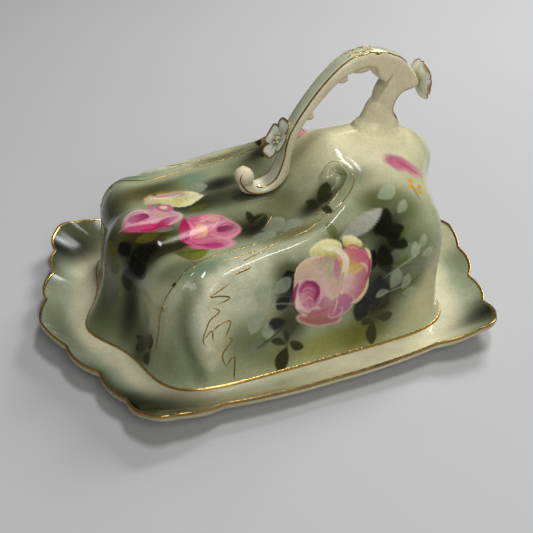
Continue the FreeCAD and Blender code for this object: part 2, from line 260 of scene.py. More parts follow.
def cover_point(angle, level):
    """Outer surface: level 0 to 1 up the wall, to 2 over the shoulder, to 3 at the crown's ring."""
    angle, level = np.broadcast_arrays(angle, level)
    foot_x, foot_y, nx, ny = foot_outline(angle)
    c, s = np.cos(angle), np.sin(angle)
    end = nx * nx
    slant = c * nx + s * ny
    shoulder_end = (wall_lean(end, foot_x, 42.0) + shoulder(end, foot_x, SIDE_RUN, END_RUN)) / slant
    wall_top = roof(foot_x - c * shoulder_end, foot_y - s * shoulder_end)
    wall_top = wall_top - shoulder(end, foot_x, SIDE_RISE, END_RISE)
    lean_top = wall_lean(end, foot_x, wall_top) / slant
    on_wall = np.clip(level, 0.0, 1.0)
    turn = np.clip(level - 1.0, 0.0, 1.0) * math.pi / 2
    inward = np.clip(level - 2.0, 0.0, 1.0)
    run = lean_top + (shoulder_end - lean_top) * (1.0 - np.cos(turn))
    run = np.where(level <= 1.0, wall_lean(end, foot_x, wall_top * on_wall) / slant, run)
    x, y = foot_x - c * run, foot_y - s * run
    x = x + (CROWN_X + CROWN_RADIUS * c - x) * inward
    y = y + (CROWN_RADIUS * s - y) * inward
    run = np.where(level > 2.0, np.hypot(x - foot_x, y - foot_y), run)
    z = wall_top + (roof(x, y) - wall_top) * np.sin(turn)
    z = np.where(level <= 1.0, wall_top * on_wall, np.where(level > 2.0, roof(x, y), z))
    fade = 1.0 - ramp(run, 0.0, np.where(foot_x < 0.0, 45.0, 38.0))
    x = x + np.sign(foot_x) * end_bulge(foot_x, y, z) * np.abs(nx) ** 3 * fade
    return np.stack([x, y, z + FLOOR_Z], -1)


def even_angles(count):
    """Polar angles that space the points of the foot evenly."""
    fine = np.linspace(0.0, 2.0 * math.pi, FINE_ANGLES)
    ring = cover_point(fine, 0.0)
    lengths = np.r_[0.0, np.cumsum(np.linalg.norm(np.diff(ring, axis=0), axis=1))]
    return np.interp(np.linspace(0.0, lengths[-1], count, endpoint=False), lengths, fine)


def grid_normals(grid):
    along = np.roll(grid, -1, 1) - np.roll(grid, 1, 1)
    up = np.gradient(grid, axis=0)
    return unit(np.cross(along, up))


# Raised decoration: ways along the near side of the cover, pressed onto it and mirrored ----------

SCROLL = [
    (-82, -52, 9), (-77, -55, 29), (-75, -57, 45), (-66, -57, 59), (-49, -49, 64), (-20, -49, 66),
    (12, -45, 72), (27, -40, 79), (37, -31, 84), (34, -22, 87), (27, -23, 83), (25, -29, 80),
]
VOLUTE = [
    (5, -47, 70), (20, -43, 76), (32, -36, 82), (37, -29, 85), (34, -22, 87), (27, -23, 83), (25, -28, 80),
]
ROLL = [
    (-57, -71, 19), (-60, -67, 33), (-58, -65, 49), (-47, -61, 60), (-24, -57, 64), (5, -55, 68),
    (34, -44, 78),
]
SHELL_GROOVE = [(-63, -70, 13), (-68, -66, 25), (-69, -63, 42), (-65, -62, 53), (-59, -61, 58)]


class Relief:
    """Raises ridges and grooves along ways on one half of the cover, and on its mirror image."""

    def __init__(self, points, normals):
        mirror = np.array([1.0, -1.0, 1.0])
        far = points[:, 1] > 0.0
        self.points = np.where(far[:, None], points * mirror, points)
        self.normals = np.where(far[:, None], normals * mirror, normals)
        self.height = np.zeros(len(points))

    def pressed(self, way):
        """A smooth path along a way, moved onto the surface."""
        path = smooth_path(way, 0.8)
        for i, place in enumerate(path):
            near = ((self.points[::SKIP] - place) ** 2).sum(1).argmin() * SKIP
            path[i] = place - self.normals[near] * ((place - self.points[near]) @ self.normals[near])
        return path

    def offsets(self, path):
        """Signed distance of each point from a path, and how far along the path it is, 0 to 1."""
        index, distance = nearest_on_path(self.points, path)
        tangent = unit(np.gradient(path, axis=0))
        side = np.einsum("ij,ij->i", self.points - path[index], np.cross(tangent[index], self.normals))
        return np.where(side < 0.0, -distance, distance), index / (len(path) - 1.0)

    def ridges(self, way, fade, profile):
        """Ridges beside a way, each (offset, width, height); they fade out towards its ends."""
        aside, along = self.offsets(self.pressed(way))
        ends = ramp(along, 0.0, fade) * ramp(1.0 - along, 0.0, fade)
        for offset, width, height in profile:
            self.height += height * bell(aside - offset, width) * ends


def cover_relief(points, normals):
    """Heights of the scroll, the volute, the roll of the shell and the groove beside it."""
    relief = Relief(points, normals)
    relief.ridges(SCROLL, 0.06, [(0.0, 2.8, 0.9), (0.0, 0.9, -0.35), (-6.5, 3.2, -0.6), (6.0, 3.0, -0.5)])
    relief.ridges(VOLUTE, 0.2, [(0.0, 1.4, 1.1), (-3.4, 1.6, -0.9), (3.4, 1.6, -0.7)])
    relief.ridges(ROLL, 0.06, [(0.0, 3.4, 1.5)])
    relief.ridges(SHELL_GROOVE, 0.25, [(0.0, 3.2, -1.2)])
    return relief.height


# Meshes ---------------------------------------------------------------------------------------

def add_object(name, points, faces, body):
    """A smooth-shaded mesh piece, given in millimetres, that rides on a body."""
    mesh = bpy.data.meshes.new(name)
    mesh.from_pydata((np.asarray(points) * MM).tolist(), [], faces)
    mesh.validate()
    mesh.shade_smooth()
    piece = bpy.data.objects.new(name, mesh)
    bpy.context.scene.collection.objects.link(piece)
    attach(piece, body)
    return piece


def skin_faces(rows, columns, start=0, closed=False):
    """Quads over a grid whose columns close on themselves, and whose rows may too."""
    r = np.arange(rows if closed else rows - 1)[:, None]
    c = np.arange(columns)[None, :]
    after, above = (c + 1) % columns, (r + 1) % rows
    corners = [r * columns + c, r * columns + after, above * columns + after, above * columns + c]
    return (np.stack(corners, -1).reshape(-1, 4) + start).tolist()


def fan_faces(ring_start, columns, middle, flip=False):
    """Triangles from a ring to a middle point."""
    faces = []
    for i in range(columns):
        a, b = ring_start + i, ring_start + (i + 1) % columns
        faces.append((b, a, middle) if flip else (a, b, middle))
    return faces


def paint(piece, colours):
    """Stores sRGB colours, 0 to 1, as the piece's paint layer."""
    c = np.clip(colours, 0.0, 1.0)
    linear = np.where(c <= 0.04045, c / 12.92, ((c + 0.055) / 1.055) ** 2.4)
    rgba = np.c_[linear, np.ones(len(linear))].astype(np.float32)
    layer = piece.data.color_attributes.new("paint", "FLOAT_COLOR", "POINT")
    layer.data.foreach_set("color", rgba.ravel())


def mesh_arrays(piece):
    """Vertex places in millimetres and vertex normals of a piece at rest."""
    mesh = piece.data
    points = np.zeros(len(mesh.vertices) * 3, np.float32)
    mesh.vertices.foreach_get("co", points)
    normals = np.zeros(len(mesh.vertices) * 3, np.float32)
    mesh.vertex_normals.foreach_get("vector", normals)
    return points.reshape(-1, 3).astype(float) / MM, normals.reshape(-1, 3).astype(float)


def surface_tree(piece):
    mesh = piece.data
    return BVHTree.FromPolygons([v.co.copy() for v in mesh.vertices],
                                [tuple(p.vertices) for p in mesh.polygons])


def laid_path(tree, points, step=0.6):
    """A smooth path pressed onto a surface, and the surface's normals along it."""
    places, normals = [], []
    for p in smooth_path(points, step):
        place, normal, _, _ = tree.find_nearest(Vector(p) * MM)
        places.append(np.array(place) / MM)
        normals.append(np.array(normal))
    return relaxed(places, 4), unit(relaxed(normals, 4))


def capped_skin(rows, sides, flip=False):
    """Faces over rows of closed rings, with a flat face at each end."""
    faces = skin_faces(rows, sides)
    faces.append(list(range(sides))[::-1])
    faces.append([(rows - 1) * sides + i for i in range(sides)])
    return [face[::-1] for face in faces] if flip else faces


def bead(places, normals, width, height, taper=True, sides=8):
    """Points and faces of a flat bead of enamel along a path on a surface."""
    across = np.cross(unit(np.gradient(places, axis=0)), normals)
    t = np.linspace(0.0, 1.0, len(places))
    swell = np.clip(np.minimum(t, 1.0 - t) * 6.0, 0.18, 1.0) if taper else np.ones(len(places))
    turn = np.arange(sides) * 2.0 * math.pi / sides
    grid = (places[:, None, :]
            + across[:, None, :] * (np.cos(turn)[None, :, None] * (width / 2.0 * swell)[:, None, None])
            + normals[:, None, :] * (np.sin(turn)[None, :, None] * (height / 2.0 * swell)[:, None, None]))
    return grid.reshape(-1, 3), capped_skin(len(places), sides)


class Shape:
    """Collects parts of a mesh, with their colours if they have any, and makes them one piece."""

    def __init__(self):
        self.points = []
        self.faces = []
        self.colours = []
        self.count = 0

    def add(self, points, faces, colours=None):
        self.points.append(points)
        self.faces += [[i + self.count for i in face] for face in faces]
        self.count += len(points)
        if colours is not None:
            self.colours.append(colours)

    def piece(self, name, body, slot):
        piece = add_object(name, np.vstack(self.points), self.faces, body)
        if self.colours:
            paint(piece, np.vstack(self.colours))
        return piece


class Beads(Shape):
    """Beads of gilding."""

    def lay(self, tree, line, width, height=0.3, mirror=False, taper=True, offset=0.0):
        """Lays a bead on a surface along a line, or at an offset beside it."""
        for side in (1.0, -1.0) if mirror else (1.0,):
            places, normals = laid_path(tree, [(x, y * side, z) for x, y, z in line])
            if offset:
                across = unit(np.cross(np.gradient(places, axis=0), normals))
                places, normals = laid_path(tree, places + across * offset * side)
            self.add(*bead(places, normals, width, height, taper))


# Painting -------------------------------------------------------------------------------------

BUTTER = (228, 220, 166)
STRAW = (184, 176, 90)
PEACH = (216, 190, 156)
BLUSH = (222, 178, 168)
ROSE = (200, 116, 140)
DUSK_ROSE = (172, 82, 102)
CRIMSON = (164, 30, 80)
WINE = (142, 40, 86)
MAUVE = (172, 112, 132)
TAN = (180, 164, 130)
BROWN = (152, 108, 84)


def rgb(colour):
    return np.array(colour, float) / 255.0


class Canvas:
    """The colours of a mesh's vertices, painted in layers."""

    def __init__(self, points, normals, ground):
        self.points = points
        self.colours = np.tile(rgb(ground), (len(points), 1))
        self.axes = view_axes(STENCIL_TURN, STENCIL_TILT)
        self.stencils = {}
        for flip in (False, True):
            mirror = np.array([1.0, -1.0, 1.0]) if flip else np.ones(3)
            right, up, back = [(points * mirror) @ axis for axis in self.axes]
            self.stencils[flip] = (right, up, back, (normals * mirror) @ self.axes[2] > 0.05)

    def cover_with(self, rows, colour, alpha):
        self.colours[rows] = mix(self.colours[rows], colour, np.clip(alpha, 0.0, 1.0))

    def wash(self, amount, colour):
        """A colour laid over everything, as strong as amount says at each vertex."""
        self.cover_with(slice(None), rgb(colour), amount)

    def spray(self, centre, radius, colour, strength=1.0, mirror=False):
        """A soft airbrushed spot with a radius for each axis."""
        for side in (1, -1) if mirror else (1,):
            offset = self.points - np.array(centre) * (1, side, 1)
            far = ((offset / np.array(radius, float)) ** 2).sum(1)
            self.wash(strength * np.exp(-far ** 1.3), colour)

    def patch(self, anchor, place, reach, angle, flip):
        """Rows near a place on the slanting stencil, and how far along and across an angle they are."""
        right, up, back, facing = self.stencils[flip]
        at = [float(np.dot(anchor, axis)) for axis in self.axes]
        u, v = right - at[0] - place[0], up - at[1] - place[1]
        near = facing & (np.abs(u) < reach) & (np.abs(v) < reach) & (np.abs(back - at[2]) < STENCIL_DEPTH)
        rows = np.where(near)[0]
        c, s = math.cos(math.radians(angle)), math.sin(math.radians(angle))
        return rows, u[rows] * c + v[rows] * s, v[rows] * c - u[rows] * s

    def petal(self, anchor, place, half, angle, colours, rim=None, strength=1.0, soft=0.4, flip=False):
        """A rounded petal, half sizes along and across, shaded from its root to its tip."""
        rows, along, across = self.patch(anchor, place, max(half) * 1.3 + 2.0, angle, flip)
        a, b = along / half[0], across / half[1]
        turn = np.arctan2(b, a)
        lobes = 1.0 + 0.05 * np.sin(3.0 * turn + angle) + 0.03 * np.cos(5.0 * turn)
        depth = (1.0 - np.hypot(a, b) / lobes) * min(half)
        depth += 0.12 * np.sin(1.9 * along + 0.7 * across) * np.cos(1.3 * across)
        colour = mix(rgb(colours[0]), rgb(colours[1]), ramp(a, -0.9, 0.9))
        brush = np.sin(5.0 * b + 2.2 * a * b) * np.sin(9.0 * b + 1.5 * a)
        colour = colour * (1.0 + 0.03 * brush[:, None])
        if rim is not None:
            edge = (1.0 - ramp(depth, 0.2, 1.2)) * 0.8 * ramp(a, -0.6, 0.2)
            colour = mix(colour, rgb(rim), edge)
        self.cover_with(rows, colour, strength * ramp(depth, -soft, soft))

    def leaf(self, anchor, length, width, angle, colours, strength=1.0, flip=False, soft=0.4, vein=None):
        """A pointed leaf that runs from the anchor at an angle in degrees on the stencil."""
        rows, along, across = self.patch(anchor, (0.0, 0.0), length + 2.0, angle, flip)
        t = along / length
        share = np.clip(t, 0.0, 1.0)
        across = across + 0.6 * np.sin(math.pi * t)
        profile = width * 0.5 * 3.4 * share * (1.0 - share) ** 0.8
        depth = np.where((t > 0.0) & (t < 1.0), profile - np.abs(across), -9.0)
        colour = mix(rgb(colours[0]), rgb(colours[1]), share)
        colour = colour * (1.0 + 0.02 * np.sin(1.1 * along + 1.1 * np.abs(across)))[:, None]
        if vein:
            colour = mix(colour, rgb(vein), 0.7 * (1.0 - ramp(np.abs(across), 0.1, 0.6)) * ramp(t, 0.0, 0.1))
        self.cover_with(rows, colour, strength * ramp(depth, -soft, soft))

    def stroke(self, anchor, line, width, colour, strength=1.0, flip=False, soft=0.35):
        """A brush stroke that narrows to both ends."""
        path = smooth_path(line, 0.5)
        rows, u, v = self.patch(anchor, (0.0, 0.0), np.abs(path).max() + width + 2.0, 0.0, flip)
        gap = np.linalg.norm(np.stack([u, v], 1)[:, None, :] - path[None], axis=2)
        along = gap.argmin(1) / (len(path) - 1.0)
        half = width / 2.0 * (0.25 + 0.75 * np.sin(math.pi * np.clip(along, 0.02, 0.98)) ** 0.6)
        self.cover_with(rows, rgb(colour), strength * (1.0 - ramp(gap.min(1), half - soft, half + soft)))

    def rose(self, anchor, petals, strokes, flip=False):
        """Petals from the back to the front, then the brush strokes over them."""
        for place, half, angle, colours, rim in petals:
            self.petal(anchor, place, half, angle, colours, rim, flip=flip)
        for line, width, colour in strokes:
            self.stroke(anchor, line, width, colour, 0.9, flip)


# Roses. Petals: place, half sizes, direction of the tip, colours of root and tip, colour of the rim

NEAR_ROSE = [
    ((-1, 16), (6.5, 8.2), 105, (STRAW, BUTTER), BUTTER),
    ((12, 21), (3.4, 5.4), 75, (STRAW, BUTTER), CREAM),
    ((13, 9), (9.4, 9.6), 40, ((224, 186, 126), (192, 98, 116)), ROSE),
    ((14, 0), (7.2, 10.5), -15, ((228, 196, 176), (188, 104, 118)), BUTTER),
    ((11, 8.5), (3.2, 6.4), 80, ((226, 190, 122), (200, 152, 92)), None),
    ((8, -11), (4.6, 7), -45, (ROSE, MAUVE), BLUSH),
    ((-4.5, -17), (5.2, 11.6), 268, ((190, 118, 128), (160, 104, 92)), BLUSH),
    ((4, -14.5), (3.2, 4.4), 300, ((196, 116, 134), MAUVE), BLUSH),
    ((-6, 0), (13.8, 12.4), 75, (BLUSH, PEACH), (230, 206, 180)),
    ((-12.5, -10.5), (4.4, 6.2), 200, (BLUSH, (228, 186, 176)), None),
    ((0, 8), (5.6, 6.6), 70, ((212, 190, 162), TAN), None),
    ((4.4, 7.6), (5.0, 1.6), 95, ((214, 150, 158), ROSE), None),
    ((-0.5, -10.5), (3.4, 4.6), 250, ((196, 140, 146), (180, 122, 124)), None),
    ((-9.6, -5.2), (7.4, 5.8), 100, ((200, 128, 150), (170, 64, 106)), BLUSH),
    ((-10.4, -6.8), (4.4, 3.4), 200, (DUSK_ROSE, (214, 150, 162)), None),
]
NEAR_ROSE_STROKES = [
    ([(-3, 18), (4, 17), (8.6, 12.5), (8.2, 6), (6.4, 0)], 3.6, (234, 224, 188)),
    ([(7.4, 5), (6.4, -1), (4.4, -7)], 3.0, (214, 180, 160)),
    ([(-6.5, 7), (-2, 1.5), (0, -4), (2, -8)], 3.4, (224, 190, 176)),
    ([(-11, 1), (-7, 0), (-5, -4), (-7, -9)], 2.2, WINE),
    ([(-13, -3.5), (-10.5, -2), (-7.5, -3.5)], 1.0, (214, 142, 164)),
    ([(-13, -6), (-10, -4.2), (-7.5, -6)], 0.9, (208, 132, 156)),
    ([(-12, -8.5), (-9.5, -7), (-7, -9)], 1.0, (218, 152, 170)),
    ([(-4, -3), (-3.4, -7), (-6, -12)], 1.0, (226, 172, 178)),
    ([(-17.5, -9.5), (-17, -4), (-15.5, 0)], 1.8, WINE),
    ([(21, 5.5), (20, -2), (16.5, -7.5), (12, -10.5)], 1.2, (234, 218, 160)),
    ([(21, 14), (21, 7), (19.5, 0)], 1.3, (160, 66, 88)),
    ([(8, 18), (12, 19.4), (16, 18), (19, 14.5)], 1.2, (194, 96, 114)),
    ([(19, 18), (20.8, 16), (21.6, 12.5)], 1.6, BUTTER),
    ([(-9, 10.5), (-4, 12.6), (1.5, 14)], 0.8, (208, 144, 124)),
    ([(-12, -18.5), (-8, -19.4), (-4, -18.4)], 1.8, BROWN),
    ([(-15.5, -13), (-10, -15.4), (-3, -14.4), (2, -12)], 0.8, (152, 96, 100)),
    ([(-18, -11.5), (-16, -14), (-13.5, -15.5)], 0.9, (62, 38, 38)),
    ([(3, -1), (4.8, -6), (4.6, -11), (3, -16)], 0.9, (226, 184, 176)),
]
LEFT_ROSE = [
    ((0.5, 0.5), (15.4, 6.2), 8, ((202, 146, 160), (192, 148, 150)), (216, 180, 178)),
    ((-1, -4.2), (12.4, 2.2), 5, ((198, 74, 122), (180, 44, 88)), None),
    ((8.5, -0.6), (6.0, 1.8), 28, (CRIMSON, (188, 120, 140)), None),
    ((-6, 1.2), (5.8, 2.6), 12, ((180, 104, 130), WINE), None),
    ((6.5, 7.2), (4.8, 2.2), -8, ((184, 96, 122), (190, 106, 134)), None),
    ((6, 7.6), (2.2, 1.1), -8, ((226, 196, 172), (222, 188, 160)), None),
    ((-1, 7.5), (2.4, 1.4), -45, ((190, 116, 142), (190, 116, 142)), None),
    ((8, -5), (4.6, 1.3), 8, ((112, 96, 88), (120, 104, 92)), None),
]
LEFT_ROSE_STROKES = [
    ([(-14.5, -4), (-13.7, 1), (-10.5, 4.8), (-6.5, 6), (-2.5, 4.5), (0.5, 2)], 1.0, (224, 188, 184)),
    ([(-15.5, -6), (-10.5, -2.8), (-0.5, -0.5), (8.5, 2), (14, 3.5)], 1.1, (218, 168, 174)),
    ([(-12, -3), (-5, -0.8), (0.5, 2)], 0.8, (208, 152, 162)),
    ([(-4, -5.6), (2, -4.8), (7.5, -2.4)], 0.8, (132, 22, 58)),
    ([(2, 5), (6.5, 3.8), (11, 4.6)], 0.7, (208, 152, 106)),
]
CREAM_ROSE = [
    ((-8, 0.8), (8.6, 2.9), 8, ((196, 176, 142), (200, 190, 138)), BUTTER),
    ((5, 0.4), (11.5, 4.9), 6, ((202, 192, 120), (224, 218, 170)), BUTTER),
    ((-1, 3.2), (8.6, 1.6), 4, ((190, 148, 142), (174, 152, 138)), None),
    ((1, -1.4), (6.0, 2.5), 4, ((212, 206, 158), (200, 190, 108)), None),
    ((12.8, 1.8), (4.4, 1.7), 8, ((216, 206, 150), (234, 230, 194)), None),
]
CREAM_ROSE_STROKES = [
    ([(8.5, 3.5), (7.5, 0.8), (9.5, -1)], 0.7, (160, 152, 128)),
    ([(-12, 1.2), (-4, 1.5), (4, 3.2)], 0.7, (234, 228, 194)),
    ([(-2, 5), (4, 5.4), (9, 4.4)], 0.7, (198, 162, 86)),
    ([(-11.5, 2.4), (-10.4, 3.4), (-9, 2.9)], 0.9, (70, 62, 40)),
]
MIDDLE_ROSE = [
    ((0.5, 1), (15.6, 8.6), 2, ((196, 90, 124), (206, 120, 146)), (226, 152, 154)),
    ((-12.3, 0.8), (6.2, 2.8), 95, ((170, 44, 92), CRIMSON), None),
    ((0.5, 7), (5.4, 2.4), 0, ((216, 140, 146), (222, 152, 148)), None),
    ((-4.4, 0.5), (4.4, 3.9), 30, ((212, 132, 134), (216, 172, 130)), None),
    ((8, 2.2), (7.0, 3.8), 6, ((208, 128, 148), (176, 84, 120)), (216, 150, 162)),
    ((8.2, 1.9), (4.4, 1.7), 8, (WINE, (160, 62, 104)), None),
    ((3, -6.2), (11.6, 3.0), 4, ((202, 98, 134), (206, 120, 146)), (224, 156, 160)),
    ((3.5, -7), (5.0, 1.6), 2, ((182, 66, 112), (184, 72, 116)), None),
]
MIDDLE_ROSE_STROKES = [
    ([(-1, -0.5), (2.5, 2.5), (4.5, 5.5)], 0.9, (232, 168, 170)),
    ([(1, -0.8), (5.5, -2.6), (10, -3), (14.5, -1)], 0.9, (228, 160, 166)),
    ([(-9.5, -4.5), (-5, -6.6), (2, -6.9), (6.5, -6.6)], 0.8, (160, 46, 94)),
    ([(-11, 6), (-8, 2), (-9, -2), (-8, -4)], 1.0, (224, 144, 148)),
    ([(-3, 6.5), (1.5, 5), (5, 6.4)], 0.8, (180, 78, 114)),
    ([(6, 3), (9.5, 4.4), (13, 3.4)], 0.7, (214, 144, 162)),
    ([(-7, 4.6), (-3, 6), (1, 8)], 0.8, (234, 180, 164)),
]


# Airbrushed ground of the cover, among it some painted shade and painted highlights: centre, radius, colour,
# strength, and whether it is on both sides

COVER_GROUND = [
    # Dome
    ((70, 0, 94), (50, 44, 24), (216, 208, 163), 1.0, False),
    ((58, -18, 92), (28, 24, 12), (234, 227, 187), 0.97, True),
    ((88, -34, 72), (20, 18, 18), (192, 190, 152), 0.9, True),
    ((62, -70, 40), (26, 12, 36), (142, 147, 110), 0.9, True),
    ((76, -62, 58), (9, 9, 14), (150, 154, 120), 0.7, True),
    ((70, -69, 26), (17, 12, 22), (214, 208, 166), 0.95, True),
    ((92, -36, 26), (14, 18, 26), (196, 192, 152), 0.8, True),
    # Long walls, and the shell at their low end
    ((-24, -60, 58), (60, 14, 16), (196, 198, 166), 0.8, True),
    ((0, -76, 6), (100, 8, 8), (178, 178, 136), 0.7, True),
    ((-22, -68, 40), (20, 9, 12), (160, 162, 126), 0.8, True),
    ((-44, -66, 48), (16, 10, 12), (204, 206, 174), 0.9, True),
    # partly the roll's cream and partly a painted highlight on its crest
    ((-54, -66, 42), (8, 10, 20), (226, 222, 182), 0.9, True),
    ((-56, -70, 26), (9, 8, 10), (204, 198, 156), 0.85, True),
    ((-36, -71, 26), (12, 9, 10), (104, 110, 70), 0.75, True),
    ((-22, -73, 16), (12, 8, 9), (108, 112, 70), 0.7, True),
    ((-79, -50, 40), (7, 11, 20), (196, 192, 152), 0.95, True),
    ((-76, -60, 16), (7, 8, 12), (150, 154, 120), 0.7, True),
    # Low end
    ((-97, -8, 30), (14, 22, 26), (78, 84, 56), 0.95, False),
    # painted shade down the valley between the middle lobe and the near corner
    ((-87, -25, 38), (8, 8, 26), (20, 20, 8), 0.97, False),
    ((-84, -38, 16), (8, 8, 16), (52, 56, 28), 0.85, False),
    ((-101, 0, 9), (10, 20, 6), (112, 118, 84), 0.7, False),
    ((-86, 4, 57), (14, 22, 11), (40, 42, 22), 0.85, False),
    ((-80, 32, 54), (14, 20, 14), (56, 60, 38), 0.85, False),
    ((-62, -48, 61), (12, 8, 8), (84, 88, 58), 0.85, False),
    # Roof between the lobes
    ((-60, -25, 62), (26, 10, 8), (34, 32, 10), 0.97, False),
    ((-68, -16, 63), (16, 8, 6), (46, 44, 12), 0.97, False),
    ((-76, -22, 57), (10, 9, 10), (10, 10, 4), 0.97, False),
    ((-72, -10, 64), (14, 8, 9), (56, 44, 14), 0.95, False),
    ((-24, -26, 66), (22, 11, 7), (52, 54, 26), 0.95, False),
    ((-20, 6, 67), (32, 12, 8), (52, 54, 30), 0.95, False),
    ((-38, 2, 67), (14, 8, 6), (40, 42, 26), 0.9, False),
    ((-16, 22, 66), (14, 6, 7), (24, 26, 16), 0.9, False),
    ((-18, -33, 66), (9, 7, 6), (26, 26, 12), 0.95, False),
    ((-8, -36, 67), (10, 8, 6), (62, 64, 36), 0.85, False),
    ((4, -18, 70), (12, 16, 7), (98, 100, 66), 0.85, False),
    ((-50, 34, 62), (26, 8, 8), (64, 60, 28), 0.9, False),
    ((-28, 34, 64), (10, 7, 6), (116, 140, 112), 0.85, False),
    ((4, 30, 70), (14, 14, 8), (80, 84, 54), 0.8, False),
    ((-2, -48, 68), (20, 4, 5), (92, 92, 58), 0.75, True),
    # painted shade where the near wall turns over onto the roof at its low corner
    ((-52, -53, 62), (14, 5, 5), (100, 118, 90), 0.85, True),
    # partly cream and partly a painted highlight along the crest of the roll
    ((-6, -58, 66), (26, 5, 5), (176, 178, 144), 0.8, True),
    # Round the volute; the first two are painted shade in the hollow inside the scroll's curl
    ((14, -35, 74), (9, 6, 7), (36, 38, 20), 0.95, True),
    ((24, -33, 79), (9, 7, 6), (58, 62, 34), 0.9, True),
    ((38, -32, 84), (12, 9, 5), (120, 128, 94), 0.8, True),
    ((48, -46, 76), (13, 8, 7), (78, 84, 46), 0.9, True),
    ((60, -52, 70), (10, 8, 9), (92, 100, 62), 0.85, True),
    # Foliage round the rose
    ((58, -66, 56), (12, 9, 12), (88, 96, 62), 0.85, True),
    ((44, -57, 67), (12, 9, 7), (16, 18, 6), 0.98, True),
    ((42, -66, 57), (10, 8, 10), (24, 26, 10), 0.95, True),
    ((50, -72, 40), (12, 8, 10), (66, 72, 38), 0.85, True),
    ((34, -71, 34), (12, 8, 20), (18, 20, 6), 0.97, True),
    ((22, -74, 14), (18, 8, 8), (92, 92, 26), 0.9, True),
    ((2, -73, 14), (16, 8, 7), (142, 140, 74), 0.85, True),
    ((-14, -70, 30), (9, 8, 10), (52, 54, 26), 0.92, True),
    ((-12, -67, 50), (8, 8, 11), (14, 16, 6), 0.97, True),
    ((-10, -66, 60), (12, 6, 5), (72, 74, 38), 0.8, True),
    ((22, -62, 66), (14, 8, 6), (48, 52, 22), 0.85, True),
]


# Leaves: colours of root and tip, strength and softness, then anchor, length, width and angle of each

ROOF_LEAVES = [
    (((92, 92, 20), (66, 66, 22)), 0.85, 1.0, [
        ((-84, 0, 57), 10, 7, 250), ((-83, -6, 56), 13, 8, 230), ((-76, -14, 62), 14, 6, 25),
        ((-66, -19, 63), 17, 5, 12), ((-84, -9, 50), 8, 6, 250), ((-42, 0, 66), 12, 4, 14),
        ((-46, -9, 66), 7, 4, 265)]),
    (((8, 8, 2), (14, 14, 6)), 0.95, 1.6, [
        ((-79, -18, 57), 14, 9, 300), ((-79, -18, 57), 13, 7, 20), ((-80, -17, 56), 9, 8, 130),
        ((-81, -20, 52), 13, 7, 260), ((-78, -19, 57), 18, 4, 28)]),
    (((120, 128, 108), (152, 160, 136)), 0.8, 0.6, [
        ((-15, -34, 66), 14, 8, 22), ((-9, -38, 67), 16, 6, 17), ((-21, -38, 65), 13, 5, 8),
        ((-33, 26, 65), 11, 6, 5)]),
    ((BLACKISH, (48, 50, 20)), 0.95, 0.8, [
        ((-20, -32, 65), 13, 8, 48), ((-17, -28, 66), 8, 4, 110), ((-24, -30, 65), 8, 3, 200)]),
]
SIDE_LEAVES = [
    (((84, 92, 68), (132, 138, 112)), 0.7, 0.6, [
        ((36, -71, 52), 25, 10, 27), ((44, -71, 44), 16, 7, 15), ((-24, -72, 26), 14, 6, 215)]),
    ((BLACKISH, (22, 24, 8)), 0.9, 0.8, [
        ((38, -60, 64), 16, 9, 62), ((40, -60, 64), 15, 8, 15), ((44, -60, 64), 14, 8, 330),
        ((40, -64, 60), 15, 9, 285), ((36, -64, 58), 12, 8, 250), ((36, -70, 46), 14, 8, 290),
        ((30, -71, 36), 15, 8, 250), ((-12, -67, 48), 10, 8, 100), ((-13, -68, 44), 9, 6, 220),
        ((-16, -70, 32), 10, 6, 200)]),
    (((70, 82, 30), (96, 108, 50)), 0.7, 0.6, [
        ((50, -64, 60), 11, 3, 55), ((42, -70, 50), 12, 3, 25), ((16, -60, 66), 10, 5, 120)]),
    (((142, 140, 124), (180, 180, 166)), 0.9, 0.6, [((17, -60, 66), 29, 9, 35)]),
    (((150, 160, 132), PALE_LEAF), 0.7, 0.6, [
        ((56, -70, 51), 9, 5, 80), ((61, -67, 54), 9, 4, 65), ((62, -68, 50), 8, 4, 35),
        ((43, -72, 37), 11, 7, 72), ((50, -72, 32), 9, 6, 15), ((50, -71, 34), 9, 5, 68),
        ((42, -72, 36), 8, 4, 205), ((-29, -66, 42), 13, 8, 80), ((-28, -67, 40), 13, 7, 245),
        ((-22, -66, 48), 12, 7, 40), ((47, -45, 76), 12, 8, 35), ((55, -53, 69), 9, 5, 60),
        ((-26, -69, 33), 9, 6, 280)]),
    ((DARK_LEAF, (44, 48, 22)), 0.95, 0.5, [
        ((-81, -40, 15), 7, 5, 200), ((-80, -42, 14), 9, 4, 95), ((-81, -42, 13), 7, 4, 265),
        ((-81, -40, 15), 8, 4, 140), ((-17, -73, 18), 14, 7, 255), ((-17, -72, 19), 8, 4, 165),
        ((-15, -72, 20), 8, 5, 335), ((-17, -72, 20), 7, 3, 95), ((33, -73, 20), 13, 6, 268),
        ((33, -73, 20), 7, 4, 195), ((35, -73, 21), 9, 5, 15), ((37, -72, 26), 8, 4, 60),
        ((17, -37, 75), 13, 7, 68), ((16, -38, 74), 7, 4, 150), ((17, -39, 75), 7, 4, 330)]),
]
SIDE_STEMS = [
    ((33, -73, 20), [(0, -2), (2, 3), (3, 8), (7, 15)]), ((-17, -73, 18), [(0, -1), (1, 5), (5, 12)]),
    ((-80, -42, 14), [(0, -3), (0, 3), (2, 9)]), ((-24, -72, 26), [(-8, -6), (0, 0), (9, 9)]),
]
PALE_STEMS = [
    ((43, -72, 36), [(-7, -3), (1, 0), (8, 3), (16, 10)]), ((54, -70, 50), [(-14, -9), (-4, -2), (8, 6)]),
    ((-28, -67, 40), [(0, 0), (7, 3), (16, 3)]),
]


